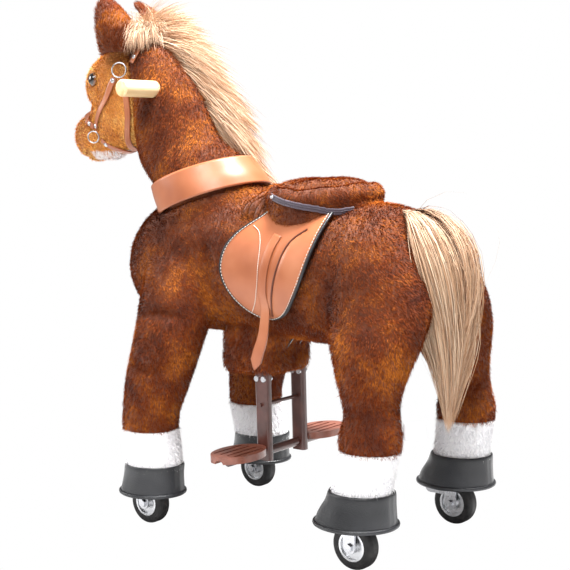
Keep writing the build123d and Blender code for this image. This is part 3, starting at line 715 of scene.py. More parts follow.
def on_face(points, normals):
    chin = (points[:, 2] < chin_limit) & (points[:, 1] > -0.372) & (normals[:, 2] < -0.25)
    eye = np.linalg.norm(np.abs(points) - np.array([0.045, -0.336, 0.734]), axis=1) < 0.013
    return ~chin & ~eye


def under_chin(points, normals):
    return (points[:, 2] < chin_limit) & (points[:, 1] > -0.372) & (normals[:, 2] < -0.25)


head_total = fur_count(head_skin, 0.0017)
face_fur = pile("face_pile", head_skin, head_total, 0.0075, 0.0010, plush_face, head_comb, on_face)
chin_fur = pile("chin_pile", head_skin, head_total, 0.008, 0.0010, plush_white, head_comb, under_chin)
for piece in (neck_skin, head_skin, neck_fur, face_fur, chin_fur):
    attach(piece, HEAD)
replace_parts(neck_skin, "neck")
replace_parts(head_skin, "head")


def ear(side):
    """A cupped shell, open towards the front."""
    rows, columns = 26, 22
    points = []
    base = Vector((side * 0.040, -0.272, 0.772))
    tip = Vector((side * 0.036, -0.309, 0.866))
    for i in range(rows):
        t = i / (rows - 1)
        width = 0.030 * (math.sin(math.pi * min(1, 0.34 + 0.66 * t)) ** 0.5) + 0.001
        spine = base.lerp(tip, t) + Vector(
            (side * 0.006 * math.sin(math.pi * t), 0.012 * math.sin(math.pi * t), 0))
        for j in range(columns):
            turn = (j / (columns - 1) - 0.5) * 2 * math.radians(108 - 20 * t)
            out = Vector((side * 0.5, 0.86, 0.1)).normalized()
            across = Vector((0.86, -side * 0.5, 0)).normalized()
            points.append(spine + width * (math.cos(turn) * out + math.sin(turn) * across))
    faces = [(i * columns + j, i * columns + j + 1, (i + 1) * columns + j + 1, (i + 1) * columns + j)
             for i in range(rows - 1) for j in range(columns - 1)]
    piece = new_object(f"ear_{'left' if side > 0 else 'right'}", points, faces)
    recalculate(piece)
    thick = piece.modifiers.new("thick", "SOLIDIFY")
    thick.thickness = 0.004
    thick.offset = 0
    apply_modifiers(piece)
    return give(piece, brown_backing)


def ear_comb(points):
    return np.tile(np.array([0.0, 0.1, 1.0]), (len(points), 1))


ears = [ear(1), ear(-1)]
for side, piece in zip((1, -1), ears):
    middle = np.array([side * 0.038, -0.290, 0.82])

    def outside(points, normals, middle=middle):
        return np.sum((points - middle) * normals, axis=1) > 0

    fur = pile(f"{piece.name}_pile", piece, fur_count(piece, 0.0017), 0.008, 0.0010, plush_brown, ear_comb,
               outside)
    lining = pile(f"{piece.name}_lining", piece, fur_count(piece, 0.0018), 0.006, 0.0010, plush_brown,
                  ear_comb,
                  lambda p, n, middle=middle: ~outside(p, n, middle))
    for made in (piece, fur, lining):
        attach(made, HEAD)
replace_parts(ears[0], "ears")


# ---- eyes --------------------------------------------------------------------------------------------
def eye_parts(side):
    at = Vector((side * 0.0435, -0.337, 0.734))
    look = Vector((side * 0.95, -0.28, 0.08)).normalized()
    turn = look.to_track_quat("Z", "Y").to_matrix().to_4x4()
    made = []
    for name, radius, rise, flat in (("eye_iris", 0.0120, 0.000, 0.50), ("eye_pupil", 0.0100, 0.0022, 0.58)):
        piece = ball(f"{name}_{'left' if side > 0 else 'right'}", (0, 0, 0), (radius, radius, radius * flat))
        piece.data.transform(Matrix.Translation(at + look * rise) @ turn)
        made.append(piece)
    iris = Material("eye iris", 0.08, Coat_Weight=1.0, Coat_Roughness=0.02)
    iris.colour(iris.ramp(iris.noise(260, 3), [(0.3, srgb(74, 38, 12)), (0.7, srgb(132, 78, 28))]))
    iris.rough(iris.spread(iris.noise(90, 2), 0.05, 0.12))
    pupil = Material("eye pupil", 0.05, Coat_Weight=1.0, Coat_Roughness=0.02)
    pupil.colour(pupil.ramp(pupil.noise(90, 2), [(0.3, srgb(8, 5, 4)), (0.8, srgb(30, 16, 10))]))
    pupil.rough(pupil.spread(pupil.noise(60, 2), 0.03, 0.08))
    give(made[0], iris.made)
    give(made[1], pupil.made)
    for piece in made:
        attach(piece, HEAD)
    return made[0]


for side in (1, -1):
    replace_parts(eye_parts(side), "eyes")


# ---- mane, forelock and tail -------------------------------------------------------------------------
def hanging_hair(name, roots, directions, lengths, droop, steps, width, material, wave=0.030, part_x=0.0,
                 wild=0.1, draw_in=None):
    """Hair that leaves its roots along a direction and bends down as it goes."""
    count = len(roots)
    at = roots.copy()
    heading = unit(directions + wild * random.normal(size=(count, 3)))
    bend = unit(0.5 * random.normal(size=(count, 3)))
    phase = random.uniform(0, 2 * math.pi, count)[:, None]
    paths = [at.copy()]
    for step in range(1, steps):
        share = step / (steps - 1)
        heading = unit(heading + np.array([part_x, 0, -droop]) / steps
                       + bend * wave * np.sin(phase + 7 * share))
        if draw_in:
            heading[:, :2] += share * 5.5 * (np.array(draw_in) - at[:, :2])
            heading = unit(heading)
        at = at + heading * (lengths / (steps - 1))[:, None]
        paths.append(at.copy())
    paths = np.stack(paths, 1)
    across = unit(np.cross(heading, random.normal(size=(count, 3))))
    widths = width * random.uniform(0.6, 1.3, count)
    return ribbons(name, paths, across, widths, random.beta(2, 1.6, count), material)


def clumped(roots, spread, size):
    """Random offsets that neighbours share, so hair falls in locks."""
    cell = np.floor(roots / size).astype(int)
    key = (cell * np.array([73856093, 19349663, 83492791])).sum(1) % 9973
    table = np.random.default_rng(5).normal(size=(9973, 3)) * spread
    return table[key]


CREST = [(-0.288, 0.792), (-0.262, 0.800), (-0.225, 0.790), (-0.180, 0.758), (-0.140, 0.715), (-0.108, 0.670),
         (-0.088, 0.628), (-0.070, 0.590)]


def mane():
    """Long pile sewn along the crest, combed back and falling to the right."""
    line = smooth_rows(CREST, 12)
    count = 13000
    t = random.random(count) * (len(line) - 1.001)
    low = np.floor(t).astype(int)
    step = line[low + 1] - line[low]
    yz = line[low] + step * (t - low)[:, None]
    tangent = unit(step)
    share = t / (len(line) - 1)
    sideways = -0.012 + 0.020 * (random.random(count) - 0.5) * 1.6
    sink = 0.004 + 0.30 * np.abs(sideways)
    outward = np.stack([-tangent[:, 1], tangent[:, 0]], 1)
    roots = np.stack([sideways, yz[:, 0] - outward[:, 0] * sink, yz[:, 1] - outward[:, 1] * sink], 1)
    rise = (0.62 - 0.15 * share) * random.uniform(0.5, 1.15, count)
    flow = np.stack([-0.30 + 9 * (sideways + 0.012), rise * outward[:, 0] + 0.72 * tangent[:, 0],
                     rise * outward[:, 1] + 0.72 * tangent[:, 1]], 1)
    lengths = (0.088 + 0.030 * np.sin(math.pi * np.clip(share * 0.85 + 0.15, 0, 1))) * (
        random.uniform(0.7, 1.12, count))
    lengths *= 1 + 0.40 * np.clip((share - 0.72) / 0.28, 0, 1)
    directions = unit(flow + clumped(roots, 0.10, 0.009))
    return hanging_hair("mane_hair", roots, directions, lengths, 1.1, 8, 0.0013, blond_hair, part_x=-0.25,
                        wild=0.07)


def forelock():
    """Tuft between the ears that falls to the left."""
    count = 3600
    roots = np.stack([random.uniform(-0.012, 0.016, count), -0.262 + random.normal(size=count) * 0.014,
                      0.802 + random.normal(size=count) * 0.003], 1)
    directions = unit(np.stack([0.40 + 14 * roots[:, 0], 0.18 + 0.18 * random.normal(size=count),
                                0.95 + 0.12 * random.normal(size=count)], 1) + clumped(roots, 0.14, 0.008))
    lengths = random.uniform(0.046, 0.070, count)
    return hanging_hair("forelock_hair", roots, directions, lengths, 3.0, 8, 0.0013, blond_hair, wild=0.08)


def tail():
    """Thick tail, fullest halfway down and drawn in to a tapering end."""
    count = 15500
    angle = random.uniform(-1.0, 1.0, count)
    drop = random.random(count)
    roots = np.stack([0.030 * np.sin(angle * 1.5) * (0.8 + 0.5 * drop),
                      0.286 + 0.046 * drop + 0.006 * np.cos(angle),
                      0.508 - 0.095 * drop], 1)
    out = random.uniform(0.15, 1.0, count)
    directions = unit(np.stack([0.55 * np.sin(angle * 1.3) * out, 0.62 * out + 0.15,
                                0.22 - 0.75 * drop - 0.3 * (1 - out)],
                               1) + clumped(roots, 0.14, 0.008))
    lengths = (0.300 - 0.070 * drop) * random.uniform(0.62, 1.05, count)
    return hanging_hair("tail_hair", roots, directions, lengths, 5.4, 11, 0.0014, blond_hair, wave=0.045,
                        wild=0.08,
                        draw_in=(0.0, 0.345))


mane_hair, forelock_hair, tail_hair = mane(), forelock(), tail()
for piece, body in ((mane_hair, HEAD), (forelock_hair, HEAD), (tail_hair, REAR)):
    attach(piece, body)
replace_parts(mane_hair, "mane")
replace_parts(tail_hair, "tail")


# ---- socks and hooves --------------------------------------------------------------------------------
SOCKS = {
    "front": [(0.092, 0.136, -0.127, 0.041, 0.049), (0.124, 0.135, -0.131, 0.042, 0.050),
              (0.156, 0.133, -0.137, 0.042, 0.050)],
    "rear": [(0.108, 0.136, 0.287, 0.039, 0.046), (0.142, 0.134, 0.292, 0.038, 0.045),
             (0.174, 0.131, 0.299, 0.039, 0.046)],
}
HOOVES = {
    "front": [(0.056, 0.136, -0.133, 0.0475, 0.0565), (0.068, 0.136, -0.131, 0.0460, 0.0545),
              (0.084, 0.136, -0.129, 0.0445, 0.0525), (0.100, 0.136, -0.127, 0.0440, 0.0520)],
    "rear": [(0.070, 0.136, 0.276, 0.0535, 0.0625), (0.084, 0.136, 0.279, 0.0500, 0.0590),
             (0.100, 0.136, 0.284, 0.0460, 0.0535), (0.115, 0.136, 0.287, 0.0435, 0.0505)],
}
SIDES = (("left", 1), ("right", -1))


def tube(name, path, radius, closed=False, around=10):
    """A round tube along points."""
    curve = bpy.data.curves.new(name, "CURVE")
    curve.dimensions = "3D"
    curve.bevel_depth = radius
    curve.bevel_resolution = max(1, around // 4)
    spline = curve.splines.new("POLY")
    spline.points.add(len(path) - 1)
    for point, at in zip(spline.points, path):
        point.co = (*at, 1)
    spline.use_cyclic_u = closed
    made = bpy.data.objects.new(name, curve)
    bpy.context.scene.collection.objects.link(made)
    bpy.context.view_layer.update()
    mesh = bpy.data.meshes.new_from_object(made.evaluated_get(bpy.context.evaluated_depsgraph_get()))
    bpy.data.objects.remove(made)
    mesh.shade_smooth()
    piece = bpy.data.objects.new(name, mesh)
    bpy.context.scene.collection.objects.link(piece)
    return piece


def joined(name, parts):
    """Several meshes as one object."""
    work = bmesh.new()
    for part in parts:
        work.from_mesh(part.data)
        bpy.data.objects.remove(part)
    mesh = bpy.data.meshes.new(name)
    work.to_mesh(mesh)
    work.free()
    mesh.shade_smooth()
    piece = bpy.data.objects.new(name, mesh)
    bpy.context.scene.collection.objects.link(piece)
    return piece


def hoof(name, sections, side):
    """Flared sleeve, open below, turned in at the top, with a rolled edge and a seam at the back."""
    rings = level_rings(sections, side, 0)
    z, x, y, a, b = sections[-1]
    rings += level_rings([(z + 0.001, x, y, a - 0.004, b - 0.004), (z - 0.006, x, y, a - 0.007, b - 0.007)],
                         side, 0)
    rows = smooth_rows([[*c, *u, *v] for c, u, v in rings], 5)
    around = 72
    points, faces = [], []
    for row in rows:
        for j in range(around):
            t = 2 * math.pi * j / around
            ripple = 1 + 0.006 * math.sin(5 * t + row[2] * 90) + 0.004 * math.sin(9 * t + 1)
            points.append(row[:3] + (math.cos(t) * row[3:6] + math.sin(t) * row[6:9]) * ripple)
    for i in range(len(rows) - 1):
        for j in range(around):
            k = (j + 1) % around
            faces.append((i * around + j, i * around + k, (i + 1) * around + k, (i + 1) * around + j))
    sleeve = new_object(name, points, faces)
    recalculate(sleeve)
    z0, x0, y0, a0, b0 = sections[0]
    crease(sleeve, [(side * x0, y0 + b0, z0), (side * x, y + b, z)], 0.0022, 0.0012, mirror=False)
    thick = sleeve.modifiers.new("thick", "SOLIDIFY")
    thick.thickness = 0.0025
    thick.offset = -1
    apply_modifiers(sleeve)
    edge = [(side * x0 + a0 * math.cos(t), y0 + b0 * math.sin(t), z0 - 0.001)
            for t in np.linspace(0, 2 * math.pi, 90, endpoint=False)]
    piping = tube(f"{name}_piping", edge, 0.0032, closed=True, around=12)
    return give(sleeve, black_leather), give(piping, black_leather)


def comb_down(points):
    return np.tile(np.array([0.0, 0.0, -1.0]), (len(points), 1))


def lower_legs():
    for end, body in (("front", FRONT), ("rear", REAR)):
        for name, side in SIDES:
            sock = lofted(f"{name}_{end}_sock", level_rings(SOCKS[end], side, -0.002), steps=8, around=64)
            give(sock, white_backing)
            bottom, top = SOCKS[end][0][0], SOCKS[end][-1][0]
            fur = pile(f"{name}_{end}_sock_pile", sock, fur_count(sock, 0.0019), 0.0085, 0.0012, plush_white,
                       comb_down, lambda p, n: (np.abs(n[:, 2]) < 0.8) & (p[:, 2] > bottom + 0.006))
            sleeve, piping = hoof(f"{name}_{end}_hoof_sleeve", HOOVES[end], side)
            for piece, slot in ((sock, "white_plush"), (fur, "white_plush"), (sleeve, "black_leatherette"),
                                (piping, "black_leatherette")):
                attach(piece, body)
            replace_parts(sock, f"{end}_socks")
            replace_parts(sleeve, f"{name}_{end}_hoof")
            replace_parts(piping, f"{end}_hoof_piping")


lower_legs()


# ---- collar ------------------------------------------------------------------------------------------
def leaning_band(name, sections, steps, around, thickness):
    rows = smooth_rows([[*c, *u, *v] for c, u, v in leaning_rings(sections, 0)], steps)
    points = [row[:3] + math.cos(t) * row[3:6] + math.sin(t) * row[6:9]
              for row in rows for t in np.linspace(0, 2 * math.pi, around, endpoint=False)]
    faces = [(i * around + j, i * around + (j + 1) % around, (i + 1) * around + (j + 1) % around,
              (i + 1) * around + j) for i in range(len(rows) - 1) for j in range(around)]
    piece = new_object(name, points, faces)
    recalculate(piece)
    thick = piece.modifiers.new("thick", "SOLIDIFY")
    thick.thickness = thickness
    thick.offset = 0
    return apply_modifiers(piece)


collar = leaning_band("collar_band", [
    (-0.099, 0.521, 17, 0.0885, 0.1010), (-0.106, 0.536, 17, 0.0875, 0.0990),
    (-0.115, 0.550, 17, 0.0860, 0.0965),
    (-0.124, 0.566, 17, 0.0835, 0.0935)], 5, 120, 0.003)
crease(collar, [(0.085, -0.125, 0.513), (0.083, -0.138, 0.535), (0.080, -0.150, 0.557)], 0.0012, 0.0012,
       mirror=False)
give(collar, tan_leather)
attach(collar, HEAD)
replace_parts(collar, "collar")


# ---- saddle and straps -------------------------------------------------------------------------------
TORSO_ROWS = smooth_rows(TORSO, 10)
FLAP = [  # degrees round the body from the top, front edge, rear edge
    (0, 0.080, 0.190), (14, 0.078, 0.190), (28, 0.070, 0.192), (42, 0.060, 0.194), (60, 0.033, 0.190),
    (75, 0.016, 0.182), (90, 0.010, 0.170), (102, 0.018, 0.155), (112, 0.034, 0.139), (119, 0.054, 0.122),
    (123, 0.074, 0.104),
]


def on_torso(y, degrees, lift):
    """The point of the torso's skin at y, some degrees round from the top, lifted off it."""
    z, a, b = (np.interp(y, TORSO_ROWS[:, 0], TORSO_ROWS[:, i]) for i in (1, 2, 3))
    t = math.radians(degrees)
    return Vector(((a + lift) * math.sin(t), y, z + (b + lift) * math.cos(t)))


def saddle():
    half = smooth_rows(FLAP, 6)
    rows = np.vstack([half[::-1] * (-1, 1, 1), half[1:]])
    columns = 40
    points = []
    for degrees, front, rear in rows:
        for j in range(columns):
            share = j / (columns - 1)
            y = front + (rear - front) * share
            edge = math.sin(math.pi * share) ** 0.4 if 0 < share < 1 else 0
            points.append(on_torso(y, degrees, 0.0035 + 0.0018 * edge))
    faces = [(i * columns + j, i * columns + j + 1, (i + 1) * columns + j + 1, (i + 1) * columns + j)
             for i in range(len(rows) - 1) for j in range(columns - 1)]
    piece = new_object("saddle_leather", points, faces)
    recalculate(piece)
    groove = [on_torso(y, d, 0.005) for y, d in (
        (0.166, 50), (0.146, 58), (0.134, 68), (0.122, 86), (0.112, 102), (0.102, 120))]
    crease(piece, groove, 0.0028, 0.0022)
    thick = piece.modifiers.new("thick", "SOLIDIFY")
    thick.thickness = 0.0022
    thick.offset = 1
    apply_modifiers(piece)
    return give(piece, tan_leather)


def dashes(name, path, length, pitch, radius, material):
    """Stitches: short rounded threads along a path."""
    path = [Vector(p) for p in path]
    parts = []
    spots = [0.0]
    for a, b in zip(path[:-1], path[1:]):
        spots.append(spots[-1] + (b - a).length)
    spots = np.array(spots)
    where = np.array([tuple(p) for p in path])

    def at(distance):
        return Vector([np.interp(distance, spots, where[:, i]) for i in range(3)])

    distance = 0.0
    while distance + length < spots[-1]:
        parts.append(tube(name, [at(distance), at(distance + length / 2), at(distance + length)], radius,
                          around=6))
        distance += pitch
    return give(joined(name, parts), material)


thread = cloth("white thread", srgb(222, 214, 200), srgb(250, 246, 238), 1400)
# groove_shadow: dark leatherette for the tube along the panel edge, a painted shadow that the upper flap's
# edge casts into the groove
groove_shadow = leatherette("groove edge painted shadow", srgb(70, 30, 16), srgb(92, 42, 22), srgb(110, 54, 30), 0.5, 1500,
                            0.05)
saddle_piece = saddle()
saddle_parts = [saddle_piece]
for name, side in SIDES:
    half = smooth_rows(FLAP, 10)
    half = half[half[:, 0] > 16]
    outline = [(side * row[0], row[1]) for row in half] + [(side * row[0], row[2]) for row in half[::-1]]
    binding = give(tube(f"{name}_saddle_binding", [on_torso(y, d, 0.0050) for d, y in outline], 0.0026),
                   black_leather)
    middle_y = 0.094
    inner = [on_torso(y + (0.0030 if y < middle_y else -0.0030), d, 0.0078) for d, y in outline]
    stitches = dashes(f"{name}_binding_stitches", inner, 0.0030, 0.0052, 0.0005, thread)
    curve = smooth_rows([(50, 0.060), (55, 0.076), (66, 0.086), (80, 0.088), (94, 0.086), (108, 0.077),
                         (118, 0.064)], 8)
    seam = dashes(f"{name}_saddle_seam", [on_torso(y, side * d, 0.0080) for d, y in curve], 0.0026, 0.0034,
                  0.0005,
                  thread)
    # A raised tube along the panel's edge, coloured dark as the painted shadow of that edge
    line = smooth_rows([(50, 0.166), (58, 0.146), (68, 0.134), (86, 0.122), (102, 0.112), (120, 0.102)], 8)
    edge = give(tube(f"{name}_panel_edge_painted_shadow", [on_torso(y, side * d, 0.0062) for d, y in line], 0.0015),
                groove_shadow)
    saddle_parts += [binding, stitches, seam, edge]
for piece in saddle_parts:
    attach(piece, REAR)
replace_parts(saddle_piece, "saddle")


def strap(side):
    """A flat strap over the flap that hangs below it, with a pointed end."""
    route = [(*on_torso(y, d, 0.0092), w) for y, d, w in (
        (0.116, 56, 0.015), (0.108, 68, 0.015), (0.101, 84, 0.015), (0.096, 100, 0.015), (0.094, 114, 0.016))]
    route += [(0.1105, 0.091, 0.322, 0.018), (0.111, 0.081, 0.295, 0.020), (0.110, 0.0745, 0.280, 0.020)]
    rows = smooth_rows(route, 6)
    rows = np.vstack([rows, [(0.1095, 0.0725, 0.273, 0.0115), (0.109, 0.0705, 0.266, 0.0016)]])
    points = []
    for i, row in enumerate(rows):
        ahead = Vector(rows[min(i + 1, len(rows) - 1), :3]) - Vector(rows[max(i - 1, 0), :3])
        out = Vector((row[0], 0, row[2] - 0.41)) if row[2] > 0.36 else Vector((1, 0, 0))
        sideways = ahead.cross(out).normalized()
        for share in (-1, -0.8, -0.4, 0, 0.4, 0.8, 1):
            bow = 0.0006 * (1 - share * share)
            points.append(Vector(row[:3]) + sideways * share * row[3] / 2 + out.normalized() * bow)
    points = [(side * p[0], p[1], p[2]) for p in points]
    faces = [(i * 7 + j, i * 7 + j + 1, (i + 1) * 7 + j + 1, (i + 1) * 7 + j)
             for i in range(len(rows) - 1) for j in range(6)]
    piece = new_object(f"hanging_strap_{'left' if side > 0 else 'right'}", points, faces)
    recalculate(piece)
    thick = piece.modifiers.new("thick", "SOLIDIFY")
    thick.thickness = 0.0022
    thick.offset = 0
    apply_modifiers(piece)
    give(piece, tan_leather)
    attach(piece, REAR)
    return piece


for name, side in SIDES:
    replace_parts(strap(side), "hanging_straps")


# ---- seat cushion ------------------------------------------------------------------------------------
CUSHION = Vector((0, 0.130, 0.523))


def swell(piece, cap, pressure=4.0, frames=20):
    """Cloth under pressure, then each point held within a cap of where it began."""
    start, _ = coordinates(piece)
    cloth_modifier = piece.modifiers.new("cloth", "CLOTH")
    settings = cloth_modifier.settings
    settings.use_pressure = True
    settings.uniform_pressure_force = pressure
    settings.effector_weights.gravity = 0
    scene = bpy.context.scene
    for step in range(1, frames + 1):
        scene.frame_set(step)
    apply_modifiers(piece)
    end, _ = coordinates(piece)
    move = end - start
    size = np.linalg.norm(move, axis=1)
    move *= np.minimum(1, cap / np.maximum(size, 1e-9))[:, None]
    set_coordinates(piece, start + move)
    scene.frame_set(1)


def cushion():
    levels = [(-0.028, 0.045), (-0.027, 0.074), (-0.015, 0.086), (0.004, 0.088), (0.019, 0.083),
              (0.026, 0.070),
              (0.027, 0.040)]
    rings = [((CUSHION.x, CUSHION.y, CUSHION.z + rise), (r, 0, 0), (0, r * 1.08, 0)) for rise, r in levels]
    shape = merged("cushion_skin", [lofted("cushion", rings, 4, 64)], 0.005, 3)
    swell(shape, 0.006)
    ring = [(CUSHION.x + 0.066 * math.cos(t), CUSHION.y + 0.071 * math.sin(t), CUSHION.z + 0.026)
            for t in np.linspace(0, 2 * math.pi, 36)]
    crease(shape, ring, 0.0055, 0.0050, mirror=False)
    belt = [(CUSHION.x + 0.089 * math.cos(t), CUSHION.y + 0.096 * math.sin(t), CUSHION.z + 0.001)
            for t in np.linspace(0, 2 * math.pi, 36)]
    crease(shape, belt, 0.0060, 0.0045, mirror=False)
    at, _ = coordinates(shape)
    lumps = 0.0016 * np.sin(at[:, 0] * 90 + 1) * np.sin(at[:, 1] * 75) * (at[:, 2] > CUSHION.z)
    share = np.clip((CUSHION.z + 0.012 - at[:, 2]) / 0.024, 0, 1)
    at[:, 2] += lumps - (0.12 + 0.42 * share) * np.maximum(0, np.abs(at[:, 0]) - 0.025)
    set_coordinates(shape, at)
    smooth = shape.modifiers.new("round", "SUBSURF")
    smooth.levels = 1
    apply_modifiers(shape)
    return give(shape, brown_backing)


def cushion_comb(points):
    flow = points - np.array(CUSHION)
    flow[:, 2] = -0.03
    return flow + np.array((0, 0.03, 0))


def zip_strip(skin):
    """Zip tape, teeth and puller sunk in the cushion's left side."""
    tree = BVHTree.FromObject(skin, bpy.context.evaluated_depsgraph_get())
    path = []
    for t in np.linspace(-0.40, 1.06, 60):
        share = (t + 0.40) / 1.46
        outer = Vector((CUSHION.x + 0.10 * math.cos(t), CUSHION.y + 0.11 * math.sin(t),
                        CUSHION.z + 0.010 - 0.024 * math.sin(share * 2.0) ** 0.8))
        hit, normal, _, _ = tree.find_nearest(outer)
        path.append((hit, normal))
    points = []
    for hit, normal in path:
        for share in (-1, -0.5, 0, 0.5, 1):
            points.append(hit + normal * (0.0046 - 0.0010 * (share == 0)) + Vector((0, 0, 0.0048 * share)))
    faces = [(i * 5 + j, i * 5 + j + 1, (i + 1) * 5 + j + 1, (i + 1) * 5 + j)
             for i in range(len(path) - 1) for j in range(4)]
    tape = new_object("cushion_zip_tape", points, faces)
    recalculate(tape)
    thick = tape.modifiers.new("thick", "SOLIDIFY")
    thick.thickness = 0.001
    apply_modifiers(tape)
    give(tape, zip_cloth)
    coil = give(dashes("cushion_zip_teeth", [hit + normal * 0.0050 for hit, normal in path], 0.0012, 0.0020,
                       0.0009, zip_cloth), zip_cloth)
    hit, normal = path[2]
    slider = ball("cushion_zip_slider", hit + normal * 0.0065, (0.0017, 0.0034, 0.0025))
    give(slider, zinc)
    return tape, coil, slider


cushion_skin = cushion()
cushion_pile = pile("cushion_pile", cushion_skin, fur_count(cushion_skin, 0.0016),
                    0.0060,
                    0.0009, plush_brown, cushion_comb)
for piece in (cushion_skin, cushion_pile, *zip_strip(cushion_skin)):
    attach(piece, REAR)
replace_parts(cushion_skin, "seat_cushion")


# ---- gathers and belly pouch -------------------------------------------------------------------------
def gathers():
    """Pleats over the withers, where the two halves fold together."""
    parts = []
    for row, y in enumerate((0.026, 0.036, 0.046, 0.056)):
        arc = []
        for degrees in np.linspace(-42, 42, 40):
            sway = 0.0016 * math.sin(degrees * 0.11 + row)
            sink = 0.010 * abs(degrees / 42) ** 7
            arc.append(on_torso(y + sway, degrees, 0.001 - sink + 0.0012 * math.sin(degrees * 0.2 + row * 2)))
        parts.append(tube("pleat", arc, 0.0060, around=16))
    piece = give(joined("gather_pleats", parts), brown_backing)
    fur = pile("gather_pile", piece, fur_count(piece, 0.0017), 0.0065, 0.0010,
               plush_dark,
               body_comb, lambda p, n: (p[:, 2] - 0.42) * n[:, 2] + p[:, 0] * n[:, 0] > 0)
    for made in (piece, fur):
        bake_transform(made)
    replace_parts(piece, "back_gathers")


def pouch():
    low, high = (Vector(corner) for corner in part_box("belly_pouch"))
    middle = (low + high) / 2
    a, b = (high.x - low.x) / 2, (high.y - low.y) / 2
    rings = [((middle.x, middle.y, low.z + rise), (a * share, 0, 0), (0, b * share, 0)) for rise, share in (
        (0.002, 0.80), (0.003, 0.93), (0.010, 0.99), (0.030, 1.0), (0.055, 0.97), (0.084, 0.93),
        (0.092, 0.80))]
    shape = lofted("pouch", rings, 4, 80)
    at, _ = coordinates(shape)
    flat = at - np.array((middle.x, middle.y, 0))
    angle = np.arctan2(flat[:, 1] / b, flat[:, 0] / a)
    square = 1 / (np.abs(np.cos(angle)) ** 5 + np.abs(np.sin(angle)) ** 5) ** 0.2
    flat[:, :2] *= (0.985 * square)[:, None]
    flat[:, 0] *= 1 + 0.02 * np.sin(7 * angle + at[:, 2] * 60)
    flat[:, 1] += 0.030 * np.clip((at[:, 2] - 0.285) / 0.045, 0, 1) * (flat[:, 1] > 0)
    set_coordinates(shape, flat + np.array((middle.x, middle.y, 0)))
    shape = merged("pouch_skin", [shape], 0.005, 4)
    crease(shape, [(a, -0.022, 0.318), (a, -0.012, 0.285), (a, 0.002, 0.255)], 0.007, 0.005)
    crease(shape, [(a, 0.030, 0.300), (a, 0.032, 0.252)], 0.006, 0.004)
    crease(shape, [(a, -0.040, 0.296), (a, 0.010, 0.290), (a, 0.050, 0.298)], 0.006, 0.004)
    give(shape, brown_backing)
    fur = pile("pouch_pile", shape, fur_count(shape, 0.0019), 0.008, 0.0011,
               plush_brown,
               comb_down, lambda p, n: n[:, 2] < 0.5)
    for piece in (shape, fur):
        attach(piece, "guide")
    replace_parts(shape, "belly_pouch")


gathers()
pouch()


# ---- bridle ------------------------------------------------------------------------------------------
def strap_on(name, surfaces, path, width, lift=0.0050, thickness=0.0018, smoothing=8):
    """A strap that follows the nearest skin at each point of its path."""
    graph = bpy.context.evaluated_depsgraph_get()
    trees = [BVHTree.FromObject(surface, graph) for surface in surfaces]
    rows = smooth_rows(path, 8)
    spots = []
    for row in rows:
        best = min((tree.find_nearest(Vector(row)) for tree in trees), key=lambda found: found[3])
        spots.append((best[0], best[1]))
    centre = np.array([tuple(hit + normal * lift) for hit, normal in spots])
    out = np.array([tuple(normal) for _, normal in spots])
    for _ in range(smoothing):
        centre[1:-1] = (centre[:-2] + 2 * centre[1:-1] + centre[2:]) / 4
        out[1:-1] = (out[:-2] + 2 * out[1:-1] + out[2:]) / 4
    points = []
    for i in range(len(centre)):
        ahead = Vector(centre[min(i + 1, len(centre) - 1)] - centre[max(i - 1, 0)])
        sideways = ahead.cross(Vector(out[i])).normalized()
        for share in (-1, -0.5, 0, 0.5, 1):
            points.append(Vector(centre[i]) + sideways * share * width / 2)
    faces = [(i * 5 + j, i * 5 + j + 1, (i + 1) * 5 + j + 1, (i + 1) * 5 + j)
             for i in range(len(centre) - 1) for j in range(4)]
    piece = new_object(name, points, faces)
    recalculate(piece)
    thick = piece.modifiers.new("thick", "SOLIDIFY")
    thick.thickness = thickness
    thick.offset = 0
    apply_modifiers(piece)
    return give(piece, tan_leather), centre, out


def ring_at(name, centre, normal, radius, wire):
    turn = Vector(normal).to_track_quat("Z", "Y").to_matrix().to_4x4()
    circle = [turn @ Vector((radius * math.cos(t), radius * math.sin(t), 0)) + Vector(centre)
              for t in np.linspace(0, 2 * math.pi, 40, endpoint=False)]
    return give(tube(name, circle, wire, closed=True, around=10), zinc)


def rivet(name, centre, normal):
    piece = ball(name, (0, 0, 0), (0.0042, 0.0042, 0.0022))
    turn = Vector(normal).normalized().to_track_quat("Z", "Y").to_matrix().to_4x4()
    piece.data.transform(Matrix.Translation(Vector(centre) + Vector(normal).normalized() * 0.0012) @ turn)
    return give(piece, zinc)


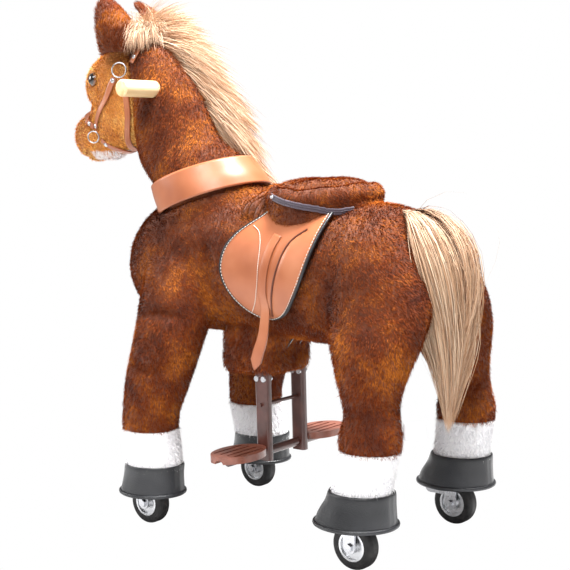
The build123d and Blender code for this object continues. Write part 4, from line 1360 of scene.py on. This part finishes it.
def bridle():
    skins = [head_skin, neck_skin]
    made, metal = [], []
    for name, side in SIDES:
        def flip(points):
            return [(side * x, y, z) for x, y, z in points]

        crown, centre, out = strap_on(f"{name}_crown_strap", skins, flip([
            (0.000, -0.246, 0.806), (0.022, -0.236, 0.796), (0.042, -0.232, 0.778),
            (0.052, -0.242, 0.758)]), 0.011)
        metal.append(rivet(f"{name}_crown_rivet", centre[-5], out[-5]))
        upper = np.array((side * 0.0575, -0.257, 0.744))
        metal.append(ring_at(f"{name}_upper_ring", upper, (side * 0.85, 0.45, 0.1), 0.0125, 0.0013))
        cheek, centre, out = strap_on(f"{name}_cheek_strap", skins, flip([
            (0.058, -0.274, 0.732), (0.058, -0.290, 0.712), (0.056, -0.308, 0.686), (0.048, -0.330, 0.662),
            (0.042, -0.340, 0.648)]), 0.0100)
        metal += [rivet(f"{name}_cheek_rivet_top", centre[2], out[2]),
                  rivet(f"{name}_cheek_rivet_low", centre[-4], out[-4])]
        throat, centre, out = strap_on(f"{name}_throat_strap", [head_skin], flip([
            (0.058, -0.258, 0.730), (0.056, -0.252, 0.708), (0.052, -0.250, 0.686), (0.046, -0.254, 0.662),
            (0.036, -0.266, 0.640), (0.018, -0.282, 0.622), (0.0, -0.288, 0.616)]), 0.0100, smoothing=30)
        nose, centre, out = strap_on(f"{name}_nose_band", skins, flip([
            (0.000, -0.392, 0.692), (0.024, -0.384, 0.684), (0.040, -0.366, 0.668),
            (0.044, -0.352, 0.652)]), 0.0100)
        metal.append(rivet(f"{name}_nose_rivet", centre[-4], out[-4]))
        lower = np.array((side * 0.0470, -0.339, 0.634))
        metal.append(ring_at(f"{name}_lower_ring", lower, (side * 0.85, 0.40, -0.1), 0.0100, 0.0012))
        jaw, centre, out = strap_on(f"{name}_jaw_strap", [head_skin], flip([
            (0.044, -0.330, 0.626), (0.036, -0.316, 0.612), (0.022, -0.300, 0.606),
            (0.0, -0.294, 0.604)]), 0.0100)
        metal.append(rivet(f"{name}_jaw_rivet", centre[5], out[5]))
        made += [crown, cheek, throat, nose, jaw]
    for piece in made:
        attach(piece, HEAD)
    for piece in metal:
        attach(piece, HEAD)
    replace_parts(made[0], "bridle")
    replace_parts(metal[0], "bridle_rings")


bridle()


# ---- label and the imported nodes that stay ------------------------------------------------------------
def label():
    """Blank folded tape."""
    columns, rows = 12, 10
    points = []
    for i in range(rows):
        for j in range(columns):
            across, down = j / (columns - 1), i / (rows - 1)
            points.append((0.107 - 0.016 * across + 0.0020 * math.sin(3 * across + 2 * down),
                           0.341 + 0.025 * across,
                           0.214 - 0.024 * down))
    faces = [(i * columns + j, i * columns + j + 1, (i + 1) * columns + j + 1, (i + 1) * columns + j)
             for i in range(rows - 1) for j in range(columns - 1)]
    piece = new_object("blank_label", points, faces)
    thick = piece.modifiers.new("thick", "SOLIDIFY")
    thick.thickness = 0.0006
    apply_modifiers(piece)
    give(piece, label_cloth)
    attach(piece, REAR)
    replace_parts(piece, "care_label")


label()

board_wood = pale_wood()
KEPT = {
    "handle_bar": bar_wood, "seat_board": board_wood, "return_spring": spring_wire,
    "front_frame": frame_paint, "rear_frame": frame_paint,
    "front_links": frame_paint, "rear_links": frame_paint,
    "pedal_guide": frame_paint, "pedal_carriage": frame_paint, "steering_column": frame_paint,
    "pedal_tubes": brown_paint, "pedal_shaft": brown_paint, "pedal_rung": brown_paint,
    "left_pedal": pedal_plastic, "right_pedal": pedal_plastic,
    "main_pivot_shaft": zinc, "rear_wheel_brackets": zinc, "rear_axle_bolts": zinc, "one_way_pawls": zinc,
    "pedal_screws": zinc, "left_fork": zinc, "right_fork": zinc,
}
for name, _ in SIDES:
    for end in ("front", "rear"):
        KEPT[f"{name}_{end}_tyre"] = tyre_rubber
        KEPT[f"{name}_{end}_hub"] = hub_metal
for name, material in KEPT.items():
    node = frame["nodes"][name]
    for holder in node.material_slots:
        holder.link = "OBJECT"
        holder.material = material
